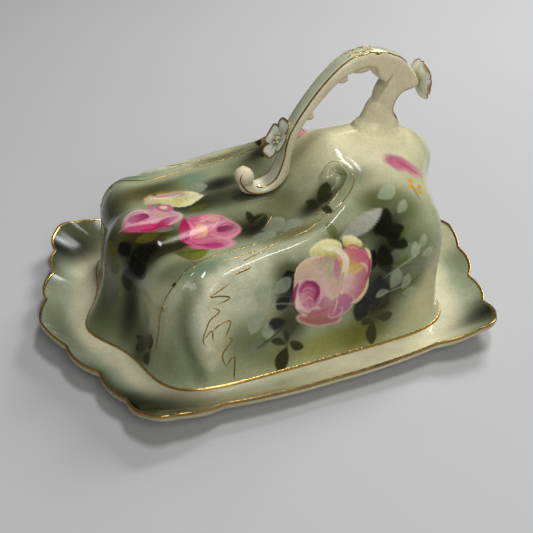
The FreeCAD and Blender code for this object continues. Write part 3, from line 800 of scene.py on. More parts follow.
def paint_leaves(canvas):
    for groups, flip in ((ROOF_LEAVES, False), (SIDE_LEAVES, False), (SIDE_LEAVES, True)):
        for colours, strength, soft, leaves in groups:
            for anchor, length, width, angle in leaves:
                canvas.leaf(anchor, length, width, angle, colours, strength, flip, soft)
    for flip in (False, True):
        for anchor, line in SIDE_STEMS:
            canvas.stroke(anchor, line, 1.1, (52, 56, 30), 0.8, flip)
        for anchor, line in PALE_STEMS:
            canvas.stroke(anchor, line, 0.8, (158, 166, 140), 0.7, flip)
    canvas.leaf((-60, -31, 61), 18, 8, 8, (OLIVE, (122, 128, 34)), 0.95, vein=(66, 70, 14))
    canvas.leaf((-58, 30, 62), 20, 6, 6, ((116, 104, 30), (136, 124, 50)), 0.9, vein=(74, 64, 24))


def paint_sprig(canvas, flip):
    """A long bud near the top of the dome, and a sprig of yellow dots under it."""
    bud = (72, -31, 82)
    canvas.petal(bud, (-5, 3), (6.6, 3.8), -20, ((178, 84, 116), (190, 96, 124)), None, 0.85, 1.6, flip)
    canvas.petal(bud, (3, 0), (7.4, 3.0), -32, ((190, 96, 124), (196, 118, 134)), None, 0.85, 1.6, flip)
    canvas.stroke(bud, [(-5, 3.5), (1, 0.8), (7, -3)], 1.2, (160, 56, 92), 0.6, flip, 0.7)
    for u, v in ((2, -7.5), (7, -10.5), (6.5, -13.5), (2.2, -10.8)):
        canvas.stroke(bud, [(u - 1.2, v + 0.4), (u, v + 0.2), (u + 1.2, v)], 2.6, (206, 150, 30), 0.95, flip)
    canvas.stroke(bud, [(2, -8), (3.6, -12.5), (6.5, -18)], 0.7, (140, 90, 60), 0.8, flip)
    canvas.stroke(bud, [(3.6, -12.5), (6, -11), (7, -10.5)], 0.6, (140, 90, 60), 0.7, flip)


def paint_cover(points, normals):
    """Colours of the cover's outside: the ground with its painted shade and highlights, then leaves, roses
    and sprigs.
    """
    canvas = Canvas(points, normals, SAGE)
    canvas.wash(0.5 * ramp(points[:, 2], 60.0, 20.0), MINT)
    for centre, radius, colour, strength, mirror in COVER_GROUND:
        canvas.spray(centre, radius, colour, strength, mirror)
    # Painted shade along the groove beside the shell; along the roll's crest, a pale spray that is partly
    # its cream and partly a painted highlight
    for place in smooth_path(SHELL_GROOVE, 7.0):
        canvas.spray(place, (3.6, 8.0, 6.0), (84, 92, 64), 0.45, True)
    for place in smooth_path(ROLL[:5], 7.0):
        canvas.spray(place, (3.4, 8.0, 6.0), (228, 226, 200), 0.5, True)
    paint_leaves(canvas)
    canvas.rose((-44, 20, 62), CREAM_ROSE, CREAM_ROSE_STROKES)
    canvas.rose((-64, -3, 66), LEFT_ROSE, LEFT_ROSE_STROKES)
    canvas.rose((-38, -20, 62), MIDDLE_ROSE, MIDDLE_ROSE_STROKES)
    for flip in (False, True):
        canvas.rose((8, -68, 47), NEAR_ROSE, NEAR_ROSE_STROKES, flip)
        paint_sprig(canvas, flip)
    canvas.spray((34, 22, 88), (10, 5, 4), (196, 112, 128), 0.85)
    return canvas.colours


def build_cover():
    """The outside in relief, a plain inside, and the foot between them."""
    angles = even_angles(COVER_COLUMNS)
    levels = np.r_[np.linspace(0.0, 1.0, WALL_ROWS, endpoint=False),
                   np.linspace(1.0, 2.0, SHOULDER_ROWS, endpoint=False),
                   np.linspace(2.0, 3.0, ROOF_ROWS)]
    cap = []
    for share in np.linspace(1.0, 0.1, CAP_ROWS)[1:]:
        x = CROWN_X + CROWN_RADIUS * share * np.cos(angles)
        y = CROWN_RADIUS * share * np.sin(angles)
        cap.append(np.stack([x, y, roof(x, y) + FLOOR_Z], -1))
    outer = np.concatenate([cover_point(angles[None, :], levels[:, None]), cap])
    plain, normals = outer.reshape(-1, 3), grid_normals(outer).reshape(-1, 3)
    raised = plain + normals * cover_relief(plain, normals)[:, None]
    inner_levels = np.r_[np.linspace(0.0, 1.0, 8), np.linspace(1.15, 2.0, 6), np.linspace(2.1, 3.0, 10)]
    inner = cover_point(angles[None, :], inner_levels[:, None])
    inner_normals = grid_normals(inner)
    inner_normals[0, :, 2] = 0.0
    inner = inner - inner_normals * WALL
    inner[0, :, 2] = FLOOR_Z
    crown = np.array([(CROWN_X, 0.0, roof(CROWN_X, 0.0) + FLOOR_Z)])
    columns = COVER_COLUMNS
    top = len(plain)
    inside = top + 1
    bottom = inside + len(inner_levels) * columns
    faces = skin_faces(len(outer), columns)
    faces += fan_faces(top - columns, columns, top)
    faces += [f[::-1] for f in skin_faces(len(inner_levels), columns, inside)]
    faces += fan_faces(bottom - columns, columns, bottom, flip=True)
    faces += [(i, inside + i, inside + (i + 1) % columns, (i + 1) % columns) for i in range(columns)]
    points = np.vstack([raised, crown, inner.reshape(-1, 3), crown - (0.0, 0.0, WALL)])
    cover = add_object("cover_body", points, faces, "cover")
    colours = np.tile(rgb(IVORY), (len(points), 1))
    colours[:top] = paint_cover(plain, normals)
    colours[top] = colours[top - 1]
    paint(cover, colours)
    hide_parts("cover_shell")
    return cover


# Tray -----------------------------------------------------------------------------------------

def arc_points(start, middle, end):
    """Points along the circular arc through three plan points, with the height in step with them."""
    ax, ay = np.subtract(middle, start)[:2]
    bx, by = np.subtract(end, start)[:2]
    cross = 2.0 * (ax * by - ay * bx)
    a2, b2 = ax * ax + ay * ay, bx * bx + by * by
    cx = start[0] + (by * a2 - ay * b2) / cross
    cy = start[1] + (ax * b2 - bx * a2) / cross
    radius = math.hypot(start[0] - cx, start[1] - cy)
    first = math.atan2(start[1] - cy, start[0] - cx)
    sweep = (math.atan2(end[1] - cy, end[0] - cx) - first + math.pi) % (2.0 * math.pi) - math.pi
    t = np.arange(max(8, int(radius * abs(sweep) / RIM_STEP)))
    t = t / len(t)
    z = start[2] * (1 - t) * (1 - 2 * t) + 4 * middle[2] * t * (1 - t) + end[2] * t * (2 * t - 1)
    turn = first + sweep * t
    return np.stack([cx + radius * np.cos(turn), cy + radius * np.sin(turn), z], 1)


def tray_rim():
    """The rim: one quarter of arcs, mirrored twice, with its cusps slightly softened."""
    quarter = np.vstack([arc_points(*arc) for arc in RIM_QUARTER] + [[RIM_QUARTER[-1][2]]])
    half = np.vstack([quarter, quarter[-2::-1] * (-1, 1, 1)])
    rim = np.vstack([half, half[-2:0:-1] * (1, -1, 1)])
    for _ in range(2):
        rim = 0.25 * np.roll(rim, 1, 0) + 0.5 * rim + 0.25 * np.roll(rim, -1, 0)
    return rim


def well_edge(rim):
    """Points of the well's edge that face the rim's points."""
    ring = cover_point(np.linspace(0.0, 2.0 * math.pi, WELL_SAMPLES, endpoint=False), 0.0)
    ring = ring[np.argsort(np.arctan2(ring[:, 1], ring[:, 0]))]
    tangent = unit(np.roll(ring, -3, 0) - np.roll(ring, 3, 0))
    ring = ring[:, :2] + np.stack([tangent[:, 1], -tangent[:, 0]], 1) * WELL_MARGIN
    angles = np.arctan2(ring[:, 1], ring[:, 0])
    facing = np.arctan2(rim[:, 1], rim[:, 0])
    return np.stack([np.interp(facing, angles, ring[:, k], period=2.0 * math.pi) for k in (0, 1)], 1)


def flange_ring(well, rim, t, drop=0.0):
    """Ring across the flange: t 0 at the well's edge and 1 at the rim, drop below the top face."""
    z = FLOOR_Z + (rim[:, 2] - FLOOR_Z) * t * t * (1.7 - 0.7 * t) - drop
    return np.c_[well * (1.0 - t) + rim[:, :2] * t, z]


WELL_SCALES = (0.05, 0.3, 0.6, 0.8, 0.9, 0.96, 0.99)
TOP_SHARES = np.r_[0.0, np.linspace(0.03, 0.94, 30), 0.965, 0.985]
EDGE = [(0.996, 0.35), (1.0, 0.9), (1.0, 1.8), (0.993, 2.9), (0.98, 3.6)]     # share, and drop from the top
UNDERSIDE_SHARES = (0.93, 0.8, 0.65, 0.5, 0.35, 0.25)
FOOT_RING_OUTSIDE = [(0.05, 1.9), (0.012, 1.6), (0.0, 0.5), (-0.006, 0.0)]    # added scale, and height
FOOT_RING_INSIDE = [(0.006, 0.0), (0.0, 0.4), (-0.006, FOOT_RECESS)]
RECESS_SCALES = (0.6, 0.3, 0.05)
TRAY_CREAM = (206, 201, 170)
TRAY_GROUND = [
    ((-100, -84, 12), (36, 20, 16), (16, 18, 6), 0.98), ((-114, -62, 14), (10, 20, 16), (34, 38, 20), 0.92),
    ((104, -86, 12), (22, 14, 16), (14, 16, 6), 0.98), ((116, -36, 12), (8, 26, 16), (118, 126, 98), 0.75),
    ((-64, -92, 12), (34, 9, 16), (84, 90, 60), 0.9), ((-26, -86, 8), (30, 7, 14), (172, 173, 140), 0.8),
    ((74, -95, 12), (20, 6, 16), (84, 88, 60), 0.8), ((32, -92, 11), (50, 11, 16), (246, 240, 200), 1.0),
    ((-118, 0, 14), (9, 22, 16), (112, 120, 94), 0.7), ((118, 0, 14), (12, 20, 16), (206, 202, 164), 0.8),
]


def build_tray(rim, well):
    """Rings from the middle of the well out to the rim, and back underneath to the foot ring."""
    def level(scale, z):
        return np.c_[well * scale, np.full(len(well), z)]

    ring_scale = 1.0 - FOOT_RING_INSET / FOOT_HALF_WIDTH
    recess_scale = ring_scale - FOOT_RING_WIDTH / FOOT_HALF_WIDTH
    rows = [level(scale, FLOOR_Z) for scale in WELL_SCALES]
    top_start = len(rows)
    rows += [flange_ring(well, rim, t) for t in TOP_SHARES]
    rows += [flange_ring(well, rim, t, drop) for t, drop in EDGE]
    rows += [flange_ring(well, rim, t, FLANGE_THICKNESS) for t in UNDERSIDE_SHARES]
    rows += [level(ring_scale + gap, z) for gap, z in FOOT_RING_OUTSIDE]
    rows += [level(recess_scale + gap, z) for gap, z in FOOT_RING_INSIDE]
    rows += [level(scale, FOOT_RECESS) for scale in RECESS_SCALES]
    columns = len(rim)
    points = np.vstack(rows + [[(0.0, 0.0, FLOOR_Z)], [(0.0, 0.0, FOOT_RECESS)]])
    count = len(rows) * columns
    faces = [f[::-1] for f in skin_faces(len(rows), columns)]
    faces += fan_faces(0, columns, count)
    faces += fan_faces(count - columns, columns, count + 1, flip=True)
    tray = add_object("tray_body", points, faces, "tray")
    paint_tray(tray, points, np.arange(len(points)) // columns - top_start)
    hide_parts("tray")
    return tray


def paint_tray(tray, points, row):
    """A cream ground that turns to sage towards the rim, with dark corners; row counts from the well."""
    shares = np.r_[TOP_SHARES, np.ones(len(EDGE))]
    on_top = (row >= 0) & (row < len(shares))
    across = np.where(on_top, shares[np.clip(row, 0, len(shares) - 1)], 0.0)
    canvas = Canvas(points, mesh_arrays(tray)[1], TRAY_CREAM)
    canvas.wash(0.85 * ramp(across, 0.3, 0.85), (146, 156, 126))
    canvas.wash(0.5 * bell(across - 0.55, 0.2) * ramp(np.abs(points[:, 0]), 40.0, 100.0), (150, 166, 142))
    for centre, radius, colour, strength in TRAY_GROUND:
        canvas.spray(centre, radius, colour, strength, True)
    canvas.wash(0.75 * ramp(across, 0.955, 0.985), (206, 198, 160))
    canvas.wash(0.9 * (row >= len(shares)), (208, 204, 182))
    paint(tray, canvas.colours)


def hoop(name, rings, body, node):
    """A closed band of gilding through a loop of rings."""
    faces = [f[::-1] for f in skin_faces(len(rings), len(rings[0]), closed=True)]
    band = add_object(name, np.vstack(rings), faces, body)
    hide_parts(node)
    return band


RIM_BAND = [
    (0.92, 0.5), (0.93, -0.12), (0.965, -0.24), (0.99, -0.14), (1.003, 0.3), (1.009, 0.9), (1.006, 1.7),
    (0.985, 2.0),
]
FOOT_BAND = [(-0.8, 0.0), (0.1, 0.0), (0.3, 0.004), (0.32, 0.02), (0.1, 0.028), (-0.8, 0.028)]


def build_rim_band(rim, well):
    rings = [flange_ring(well, rim, t, drop) for t, drop in RIM_BAND]
    return hoop("rim_band", rings, "tray", "tray_rim_gilding")


def build_foot_band():
    angles = even_angles(COVER_COLUMNS)
    rings = []
    for margin, level in FOOT_BAND:
        ring = cover_point(angles, level)
        tangent = unit(np.roll(ring, -1, 0) - np.roll(ring, 1, 0))
        outward = np.stack([tangent[:, 1], -tangent[:, 0], np.zeros(len(ring))], 1)
        rings.append(ring + outward * margin)
    return hoop("foot_band", rings, "cover", "cover_foot_gilding")


# Handle and blossoms --------------------------------------------------------------------------

OUTER_START, OUTER_END = 0.66, 0.995      # stretch of the outline that is the strap's outer face
RUFFLES = (44.0, 82.0)                    # where the outer edges are ruffled, x
KNOB = (-9.4, 79.0)
CROOK = (72.0, 121.0)                     # where the strap turns down into the rear stem
LUMPS = [                                 # rounded swellings: middle and radii
    ((KNOB[0], 0, KNOB[1]), (5.3, 6.4, 5.3)), ((27.5, 0, 108.5), (3.4, 5.2, 2.6)),
    ((46, 0, 126), (4.2, 5.4, 2.4)), ((58, 0, 130.5), (8, 4.6, 3.4)),
]
FLARE_X = 71.0
FLARE_RINGS = [                           # half length, half width and height above the dome
    (19.0, 16.0, -3.0), (18.0, 15.0, -0.8), (15.5, 12.0, 0.4), (13.0, 9.8, 1.8), (11.2, 8.2, 3.8),
    (9.6, 7.0, 7.0), (8.0, 6.0, 11.0), (6.0, 5.0, 14.0),
]


def ellipsoid(centre, radii, rings=20, sides=28):
    """Points and faces of a closed ellipsoid."""
    polar = np.linspace(0.06, math.pi - 0.06, rings)[:, None]
    turn = np.arange(sides)[None, :] * 2.0 * math.pi / sides
    across = np.sin(polar)
    ball = np.stack([across * np.cos(turn), across * np.sin(turn), np.cos(polar) + 0 * turn], -1)
    points = ball.reshape(-1, 3) * np.array(radii) + np.array(centre)
    return points, capped_skin(rings, sides, flip=True)


def surface_height(tree, x, y):
    """Height of the cover's outer surface at a place, in millimetres."""
    place, _, _, _ = tree.ray_cast(Vector((x, y, 150.0)) * MM, Vector((0.0, 0.0, -1.0)))
    return place.z / MM


def flare(cover_tree, sides=40):
    """The foot of the rear stem, which spreads onto the dome."""
    turn = np.arange(sides) * 2.0 * math.pi / sides
    reach = np.where(np.cos(turn) > 0.0, 0.75, 1.0) * np.cos(turn)
    middle = surface_height(cover_tree, FLARE_X, 0.0)
    points = []
    for half_length, half_width, height in FLARE_RINGS:
        x, y = FLARE_X + half_length * reach, half_width * np.sin(turn)
        under = np.array([surface_height(cover_tree, *place) for place in zip(x, y)])
        rise = ramp(height, 0.0, 8.0)
        points.append(np.stack([x, y, under * (1.0 - rise) + middle * rise + height], 1))
    return np.vstack(points), capped_skin(len(FLARE_RINGS), sides)


def handle_width(x, z):
    """Half width of the strap: wider where it touches the roof and at its crest, slender at the curl."""
    foot = 1.0 * bell(np.hypot(x - 3.0, z - 71.0), 10.0)
    curl = 1.8 * bell(np.hypot(x + 12.0, z - 80.0), 8.0)
    crest = 0.5 * bell(np.hypot(x - 62.0, z - 136.0), 22.0)
    return 5.7 + foot - curl + crest


def outer_weight(count):
    """1 for points of the outline on the strap's outer face, 0 for the others."""
    u = np.arange(count) / count
    return ramp(u, OUTER_START - 0.015, OUTER_START + 0.015) * (1.0 - ramp(u, OUTER_END - 0.01, OUTER_END))


def handle_rows(line, inward, outer):
    """The side outline swept across the strap, rounded at its edges and crowned along its outer face."""
    x, z = line[:, 0], line[:, 1]
    ruffled = ramp(x, RUFFLES[0], RUFFLES[0] + 6) * (1 - ramp(x, RUFFLES[1] - 6, RUFFLES[1])) * outer
    ruffle = np.abs(np.sin(np.arange(len(line)) * OUTLINE_STEP / 3.1)) - 0.5
    slender = 1.0 - 0.7 * bell(np.hypot(x - CROOK[0], z - CROOK[1]), 8.0)
    stem = ramp(x, 50.0, 58.0) * (1.0 - ramp(z, 108.0, 118.0))
    rows = []
    for f in np.sin(np.linspace(-1.0, 1.0, STRAP_ROWS) * math.pi / 2):
        edge = max(0.0, (abs(f) - 0.6) / 0.4)
        inset = HANDLE_EDGE * slender * (1.0 - math.sqrt(max(0.0, 1.0 - edge ** 2)))
        inset = inset + stem * STEM_ROUNDING * (1.0 - math.sqrt(max(0.0, 1.0 - f * f)))
        inset = inset + outer * (1.6 * f * f - 1.1 - 0.3 * bell(abs(f) - 0.84, 0.12))
        inset = inset - ruffled * ruffle * 0.6 * ramp(abs(f), 0.5, 0.8)
        place = line + inward * inset[:, None]
        rows.append(np.stack([place[:, 0], f * handle_width(x, z), place[:, 1]], 1))
    return rows


def build_handle(cover_tree, line):
    """The strap, its lumps and the flare of its stem, joined into one skin."""
    columns = len(line)
    tangent = unit(np.roll(line, -1, 0) - np.roll(line, 1, 0))
    inward = np.stack([-tangent[:, 1], tangent[:, 0]], 1)
    outer = outer_weight(columns)
    rows = handle_rows(line, inward, outer)
    faces = skin_faces(len(rows), columns)
    for start, side, turn in ((0, rows[0], -1), ((len(rows) - 1) * columns, rows[-1], 1)):
        for triangle in tessellate_polygon([[Vector((x, z, 0.0)) for x, _, z in side]]):
            faces.append([start + i for i in triangle[::turn]])
    shape = Shape()
    shape.add(np.vstack(rows), faces)
    for centre, radii in LUMPS:
        shape.add(*ellipsoid(centre, radii))
    shape.add(*flare(cover_tree))
    handle = shape.piece("handle_scroll", "cover", "handle_glaze")
    remesh = handle.modifiers.new("remesh", "REMESH")
    remesh.mode = "VOXEL"
    remesh.voxel_size = HANDLE_VOXEL * MM
    smooth = handle.modifiers.new("smooth", "SMOOTH")
    smooth.factor = 0.5
    smooth.iterations = 4
    evaluated = handle.evaluated_get(bpy.context.evaluated_depsgraph_get())
    mesh = bpy.data.meshes.new_from_object(evaluated)
    handle.modifiers.clear()
    handle.data = mesh
    mesh.shade_smooth()
    paint_handle(handle, line, inward, outer)
    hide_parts("handle")
    return handle


def paint_handle(handle, line, inward, outer):
    """Sage along the strap's outer face, cream sides, painted shade in brown on the faces that look down,
    and a grey-green stem.
    """
    points, normals = mesh_arrays(handle)
    x, z = points[:, 0], points[:, 2]
    nearest = np.zeros(len(points), int)
    for start in range(0, len(points), CHUNK):
        flat = points[start:start + CHUNK][:, (0, 2)]
        nearest[start:start + CHUNK] = ((flat[:, None, :] - line[None]) ** 2).sum(2).argmin(1)
    facing = -(normals[:, 0] * inward[nearest, 0] + normals[:, 2] * inward[nearest, 1])
    share = np.abs(points[:, 1]) / handle_width(x, z)
    on_face = outer[nearest] * ramp(facing, 0.3, 0.6)
    low = 1.0 - ramp(z, 78.0, 92.0)
    rear = ramp(x, 76.0, 79.0) * (1.0 - ramp(z, 112.0, 118.0)) * ramp(z, 96.0, 107.0)
    base = ramp(x, 50.0, 58.0) * (1.0 - ramp(z, 95.0, 103.0))
    canvas = Canvas(points, normals, (228, 220, 184))
    canvas.wash(0.55 * ramp(np.abs(normals[:, 1]), 0.5, 0.95), (212, 200, 160))
    # painted shade: faces that look down are washed browner
    canvas.wash(0.6 * ramp(-normals[:, 2], 0.1, 0.8), (190, 172, 132))
    canvas.wash(0.9 * on_face * (1.0 - ramp(share, 0.3, 0.85)), (182, 188, 160))
    canvas.wash(on_face * bell(share - 0.9, 0.12) * 0.8, (222, 217, 192))
    canvas.wash(0.85 * low * on_face, (228, 226, 204))
    canvas.wash(0.6 * low * bell(x - KNOB[0], 5.0), (214, 208, 176))
    canvas.wash(0.9 * rear * (1.0 - ramp(share, 0.6, 0.8)), (122, 132, 106))
    canvas.wash(0.5 * rear * ramp(share, 0.75, 0.9), (210, 202, 168))
    canvas.wash(0.85 * base, (224, 215, 170))
    paint(handle, canvas.colours)


def petal_grid(length, rings=26, sides=36):
    """A cupped petal that runs out along +X, as rows of closed rings."""
    tau = np.linspace(-0.985, 0.985, rings)[:, None]
    turn = np.arange(sides)[None, :] * 2.0 * math.pi / sides
    girth = np.sqrt(1.0 - tau ** 2)
    far = 0.5 + 0.5 * tau
    side = np.cos(turn) * girth ** 0.7
    x = length * (far - 0.06 * far ** 4 * (1.0 - side ** 2)) + 0.0 * turn
    y = PETAL_HALF_WIDTH * side * (0.78 + 0.3 * far)
    z = 0.8 + 1.5 * far ** 2 + 1.5 * side ** 2 * far + PETAL_HALF_THICKNESS * np.sin(turn) * girth
    z = z - 0.5 * bell(side, 0.25) * (1.0 - far)
    return np.stack([x, y, z], -1)


EYE_RING = 2.6
EYE_BEADS = 6


def eye_beads():
    """Middles and radii: a big bead, a ring of small ones, and the boss underneath them."""
    beads = [((0, 0, 1.6), (1.9, 1.9, 2.2))]
    for i in range(EYE_BEADS):
        turn = i * 2.0 * math.pi / EYE_BEADS
        beads.append(((EYE_RING * math.cos(turn), EYE_RING * math.sin(turn), 2.6), (0.8, 0.8, 0.8)))
    beads.append(((0, 0, -2.0), (3.0, 3.0, 3.2)))
    return beads


def petal_colours(grid):
    """Green at the root, pale further out, with gilding rubbed into the edge."""
    rings, sides = grid.shape[:2]
    far = np.repeat(np.linspace(0.0, 1.0, rings), sides)
    side = np.abs(grid[..., 1]).ravel() / PETAL_HALF_WIDTH
    colour = mix(rgb((186, 192, 162)), rgb((236, 239, 218)), ramp(far, 0.1, 0.75))
    return mix(colour, rgb((150, 120, 72)), 0.7 * ramp(np.maximum(side, far), 0.84, 1.0))


def build_blossom(name, spec, node, beads):
    """Petals round a beaded eye, with a gilded line round each petal."""
    tilt = Matrix.Rotation(math.radians(spec["tilt"]), 3, "Y")
    shape = Shape()

    def placed(p, angle):
        spin = np.array(tilt @ Matrix.Rotation(angle, 3, "Z"))
        return p @ spin.T + np.array([spec["middle"][0], 0.0, spec["middle"][1]])

    for i, length in enumerate(spec["petals"]):
        angle = 2.0 * math.pi * i / len(spec["petals"])
        grid = petal_grid(length * PETAL_SWELL)
        rings, sides = grid.shape[:2]
        shape.add(placed(grid.reshape(-1, 3), angle), capped_skin(rings, sides), petal_colours(grid))
        rim = relaxed(np.vstack([grid[6:, 0], grid[:5:-1, sides // 2]]), 2)
        lift = np.tile([0.0, 0.0, 1.0], (len(rim), 1))
        normals = placed(lift, angle) - placed(np.zeros((1, 3)), angle)
        beads.add(*bead(placed(rim + lift * 0.5, angle), normals, 0.9, 0.7, False))
    for centre, radii in eye_beads():
        points, faces = ellipsoid(centre, radii, 10, 14)
        tint = (190, 184, 150) if centre[2] > 0.0 else (170, 168, 136)
        shape.add(placed(points, 0.0), faces, np.tile(rgb(tint), (len(points), 1)))
    blossom = shape.piece(name, "cover", "blossom_glaze")
    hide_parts(node)
    return blossom


# Fine gilding on the cover: broken flourishes on both sides, and two short lines on the roof

FLOURISHES = [
    [(-20, -54, 66), (-28, -55, 64), (-35, -57, 63)],
    [(-33, -58, 62), (-31, -60, 62), (-36, -60, 61), (-41, -60, 60)],
    [(-42, -62, 58), (-48, -63, 56), (-55, -64, 54), (-50, -64, 53), (-44, -65, 51), (-52, -66, 49)],
    [(-54, -65, 48), (-50, -66, 45), (-56, -66, 41), (-60, -68, 33), (-59, -69, 28)],
    [(-60, -67, 32), (-57, -67, 35), (-55, -67, 36), (-55, -69, 30)],
    [(-55, -68, 35), (-51, -67, 38), (-45, -68, 39), (-49, -69, 30)],
    [(-49, -69, 30), (-45, -70, 29), (-51, -71, 22), (-50, -72, 15)],
    [(-50, -72, 15), (-45, -72, 20), (-47, -75, 7)],
]
ROOF_LINES = [
    [(-7, -19, 66), (-4, -24, 67), (-9, -31, 67), (-14, -35, 66)],
    [(-56, -44, 63), (-55, -48, 63), (-58, -52, 63)],
]
LINE_WIDTH = 0.65
SCROLL_LINE_OFFSET = 3.1


def build_cover_lines(tree):
    beads = Beads()
    beads.lay(tree, SCROLL, LINE_WIDTH, mirror=True, offset=-SCROLL_LINE_OFFSET)
    beads.lay(tree, SCROLL[4:], LINE_WIDTH, mirror=True, offset=SCROLL_LINE_OFFSET)
    for line in FLOURISHES:
        beads.lay(tree, line, 0.8, mirror=True)
    for line in ROOF_LINES:
        beads.lay(tree, line, LINE_WIDTH)
    for x, y, z in ((-69, -55, 59), (-75, -56, 47)):
        beads.lay(tree, [(x - 1, y, z - 1), (x, y, z), (x + 1, y, z + 1)], 2.4, 0.5, mirror=True)
    return beads.piece("cover_gold_lines", "cover", "gilding")


SIDE_LINES = [                            # edge of the stem, edge of the curl
    [(84, 7, 98), (81, 6, 101), (79, 6, 106), (82, 6, 112), (90, 6, 115)],
    [(4, 5.6, 70), (-3, 5.6, 69.5), (-10, 5, 73), (-13, 4, 79), (-10, 3, 84)],
]
RUFFLE_LINES = [
    [(48, 2.5, 136.5), (53, 1.5, 138), (57, 3, 139), (61, 1.5, 139.5), (66, 3, 139)],
    [(58, 5, 138), (62, 4, 139), (65, 5.5, 138), (69, 4, 138), (72, 5.5, 137)],
]
HANDLE_LINE_WIDTH = 1.1
LINE_INSET = 1.6        # from the edge of the strap's outer face to the gold line along it


def lay_handle_lines(beads, handle, line):
    """Lines along both edges of the strap's outer face, the stem, the curl and the ruffles."""
    tree = surface_tree(handle)
    edge = line[np.where(outer_weight(len(line)) > 0.5)[0][4:-4:3]]
    for side in (1.0, -1.0):
        way = [(x, side * (handle_width(x, z) - LINE_INSET), z) for x, z in edge]
        beads.lay(tree, way, HANDLE_LINE_WIDTH, 0.4, taper=False)
        for places in SIDE_LINES:
            beads.lay(tree, [(x, side * y, z) for x, y, z in places], HANDLE_LINE_WIDTH, 0.4)
        for places in RUFFLE_LINES:
            beads.lay(tree, [(x, side * y, z) for x, y, z in places], 1.0, 0.4)


# Materials ------------------------------------------------------------------------------------

class Nodes:
    """A material's node tree with a Principled shader."""

    def __init__(self, name):
        self.material = bpy.data.materials.new(name)
        self.material.use_nodes = True
        self.tree = self.material.node_tree
        self.tree.nodes.clear()
        output = self.add("ShaderNodeOutputMaterial")
        self.shader = self.add("ShaderNodeBsdfPrincipled")
        self.tree.links.new(self.shader.outputs["BSDF"], output.inputs["Surface"])

    def add(self, kind, **values):
        node = self.tree.nodes.new(kind)
        for key, value in values.items():
            if key in node.inputs:
                node.inputs[key].default_value = value
            else:
                setattr(node, key, value)
        return node

    def link(self, output, target):
        self.tree.links.new(output, target)

    def coordinates(self):
        return self.add("ShaderNodeTexCoord").outputs["Object"]

    def noise(self, scale, detail=4.0):
        node = self.add("ShaderNodeTexNoise", Scale=scale, Detail=detail, Roughness=0.55)
        self.link(self.coordinates(), node.inputs["Vector"])
        return node.outputs["Fac"]

    def between(self, value, low, high, start=0.3, end=0.7):
        """Maps a pattern from start..end to low..high."""
        node = self.add("ShaderNodeMapRange")
        for socket, number in (("From Min", start), ("From Max", end), ("To Min", low), ("To Max", high)):
            node.inputs[socket].default_value = number
        self.link(value, node.inputs["Value"])
        return node.outputs["Result"]

    def bumps(self, height, strength, distance):
        node = self.add("ShaderNodeBump", Strength=strength, Distance=distance)
        self.link(height, node.inputs["Height"])
        self.link(node.outputs["Normal"], self.shader.inputs["Normal"])

    def mixed(self, factor, first, second, blend="MIX"):
        node = self.add("ShaderNodeMix", data_type="RGBA", blend_type=blend)
        for socket, value in ((node.inputs[0], factor), (node.inputs[6], first), (node.inputs[7], second)):
            if isinstance(value, bpy.types.NodeSocket):
                self.link(value, socket)
            else:
                socket.default_value = value
        return node.outputs[2]


# Linear colours of the materials, and sizes of their patterns in repeats per metre
CRACKLE_BROWN = (0.16, 0.13, 0.07, 1.0)
GOLD = (0.66, 0.42, 0.13)
WORN_GOLD = (0.16, 0.10, 0.04, 1.0)
PAPER_TONES = [(0.475, 0.475, 0.48, 1.0), (0.495, 0.495, 0.5, 1.0)]
GLAZE_IOR = 1.45
CRACKLE_SCALE = 230.0
PATCH_SCALE = 26.0
MOTTLE_SCALE = 90.0
GRAIN_SCALE = 900.0
GLOSS_SCALE = 40.0
WAVE_SCALE = 55.0
WEAR_SCALE = 60.0
RUB_SCALE = 300.0
SCRATCH_SCALE = 700.0
PAPER_SCALE = 3.0


def glaze(name, gloss=0.08, crackle=0.2):
    """Airbrushed colour under a clear glaze with faint crackle and a slightly uneven surface."""
    nodes = Nodes(name)
    shader = nodes.shader
    tone = nodes.add("ShaderNodeVertexColor", layer_name="paint").outputs["Color"]
    mottle = nodes.between(nodes.noise(MOTTLE_SCALE), 0.90, 1.07)
    grain = nodes.between(nodes.noise(GRAIN_SCALE, 2.0), 0.90, 1.08)
    tone = nodes.mixed(1.0, tone, mottle, "MULTIPLY")
    tone = nodes.mixed(1.0, tone, grain, "MULTIPLY")
    cells = nodes.add("ShaderNodeTexVoronoi", feature="DISTANCE_TO_EDGE", Scale=CRACKLE_SCALE)
    nodes.link(nodes.coordinates(), cells.inputs["Vector"])
    patches = nodes.between(nodes.noise(PATCH_SCALE, 2.0), 0.0, crackle, 0.45, 0.65)
    lines = nodes.between(cells.outputs["Distance"], 1.0, 0.0, 0.0, 0.035)
    strength = nodes.add("ShaderNodeMath", operation="MULTIPLY")
    nodes.link(patches, strength.inputs[0])
    nodes.link(lines, strength.inputs[1])
    tone = nodes.mixed(strength.outputs[0], tone, CRACKLE_BROWN)
    nodes.link(tone, shader.inputs["Base Color"])
    uneven = nodes.between(nodes.noise(GLOSS_SCALE), gloss, gloss + 0.14, 0.35, 0.75)
    nodes.link(uneven, shader.inputs["Roughness"])
    nodes.bumps(nodes.noise(WAVE_SCALE, 3.0), 0.09, 0.0006)
    shader.inputs["IOR"].default_value = GLAZE_IOR
    shader.inputs["Specular IOR Level"].default_value = 0.34
    return nodes.material


def gilt(name, bright):
    """Burnished gold with rubbed, browner patches."""
    nodes = Nodes(name)
    shader = nodes.shader
    worn = nodes.between(nodes.noise(WEAR_SCALE), 0.0, 0.8, 0.48, 0.72)
    tone = nodes.mixed(worn, [part * bright for part in GOLD] + [1.0], WORN_GOLD)
    nodes.link(tone, shader.inputs["Base Color"])
    nodes.link(nodes.between(nodes.noise(RUB_SCALE), 0.14, 0.34), shader.inputs["Roughness"])
    nodes.bumps(nodes.noise(SCRATCH_SCALE, 2.0), 0.3, 0.0003)
    shader.inputs["Metallic"].default_value = 0.9
    return nodes.material


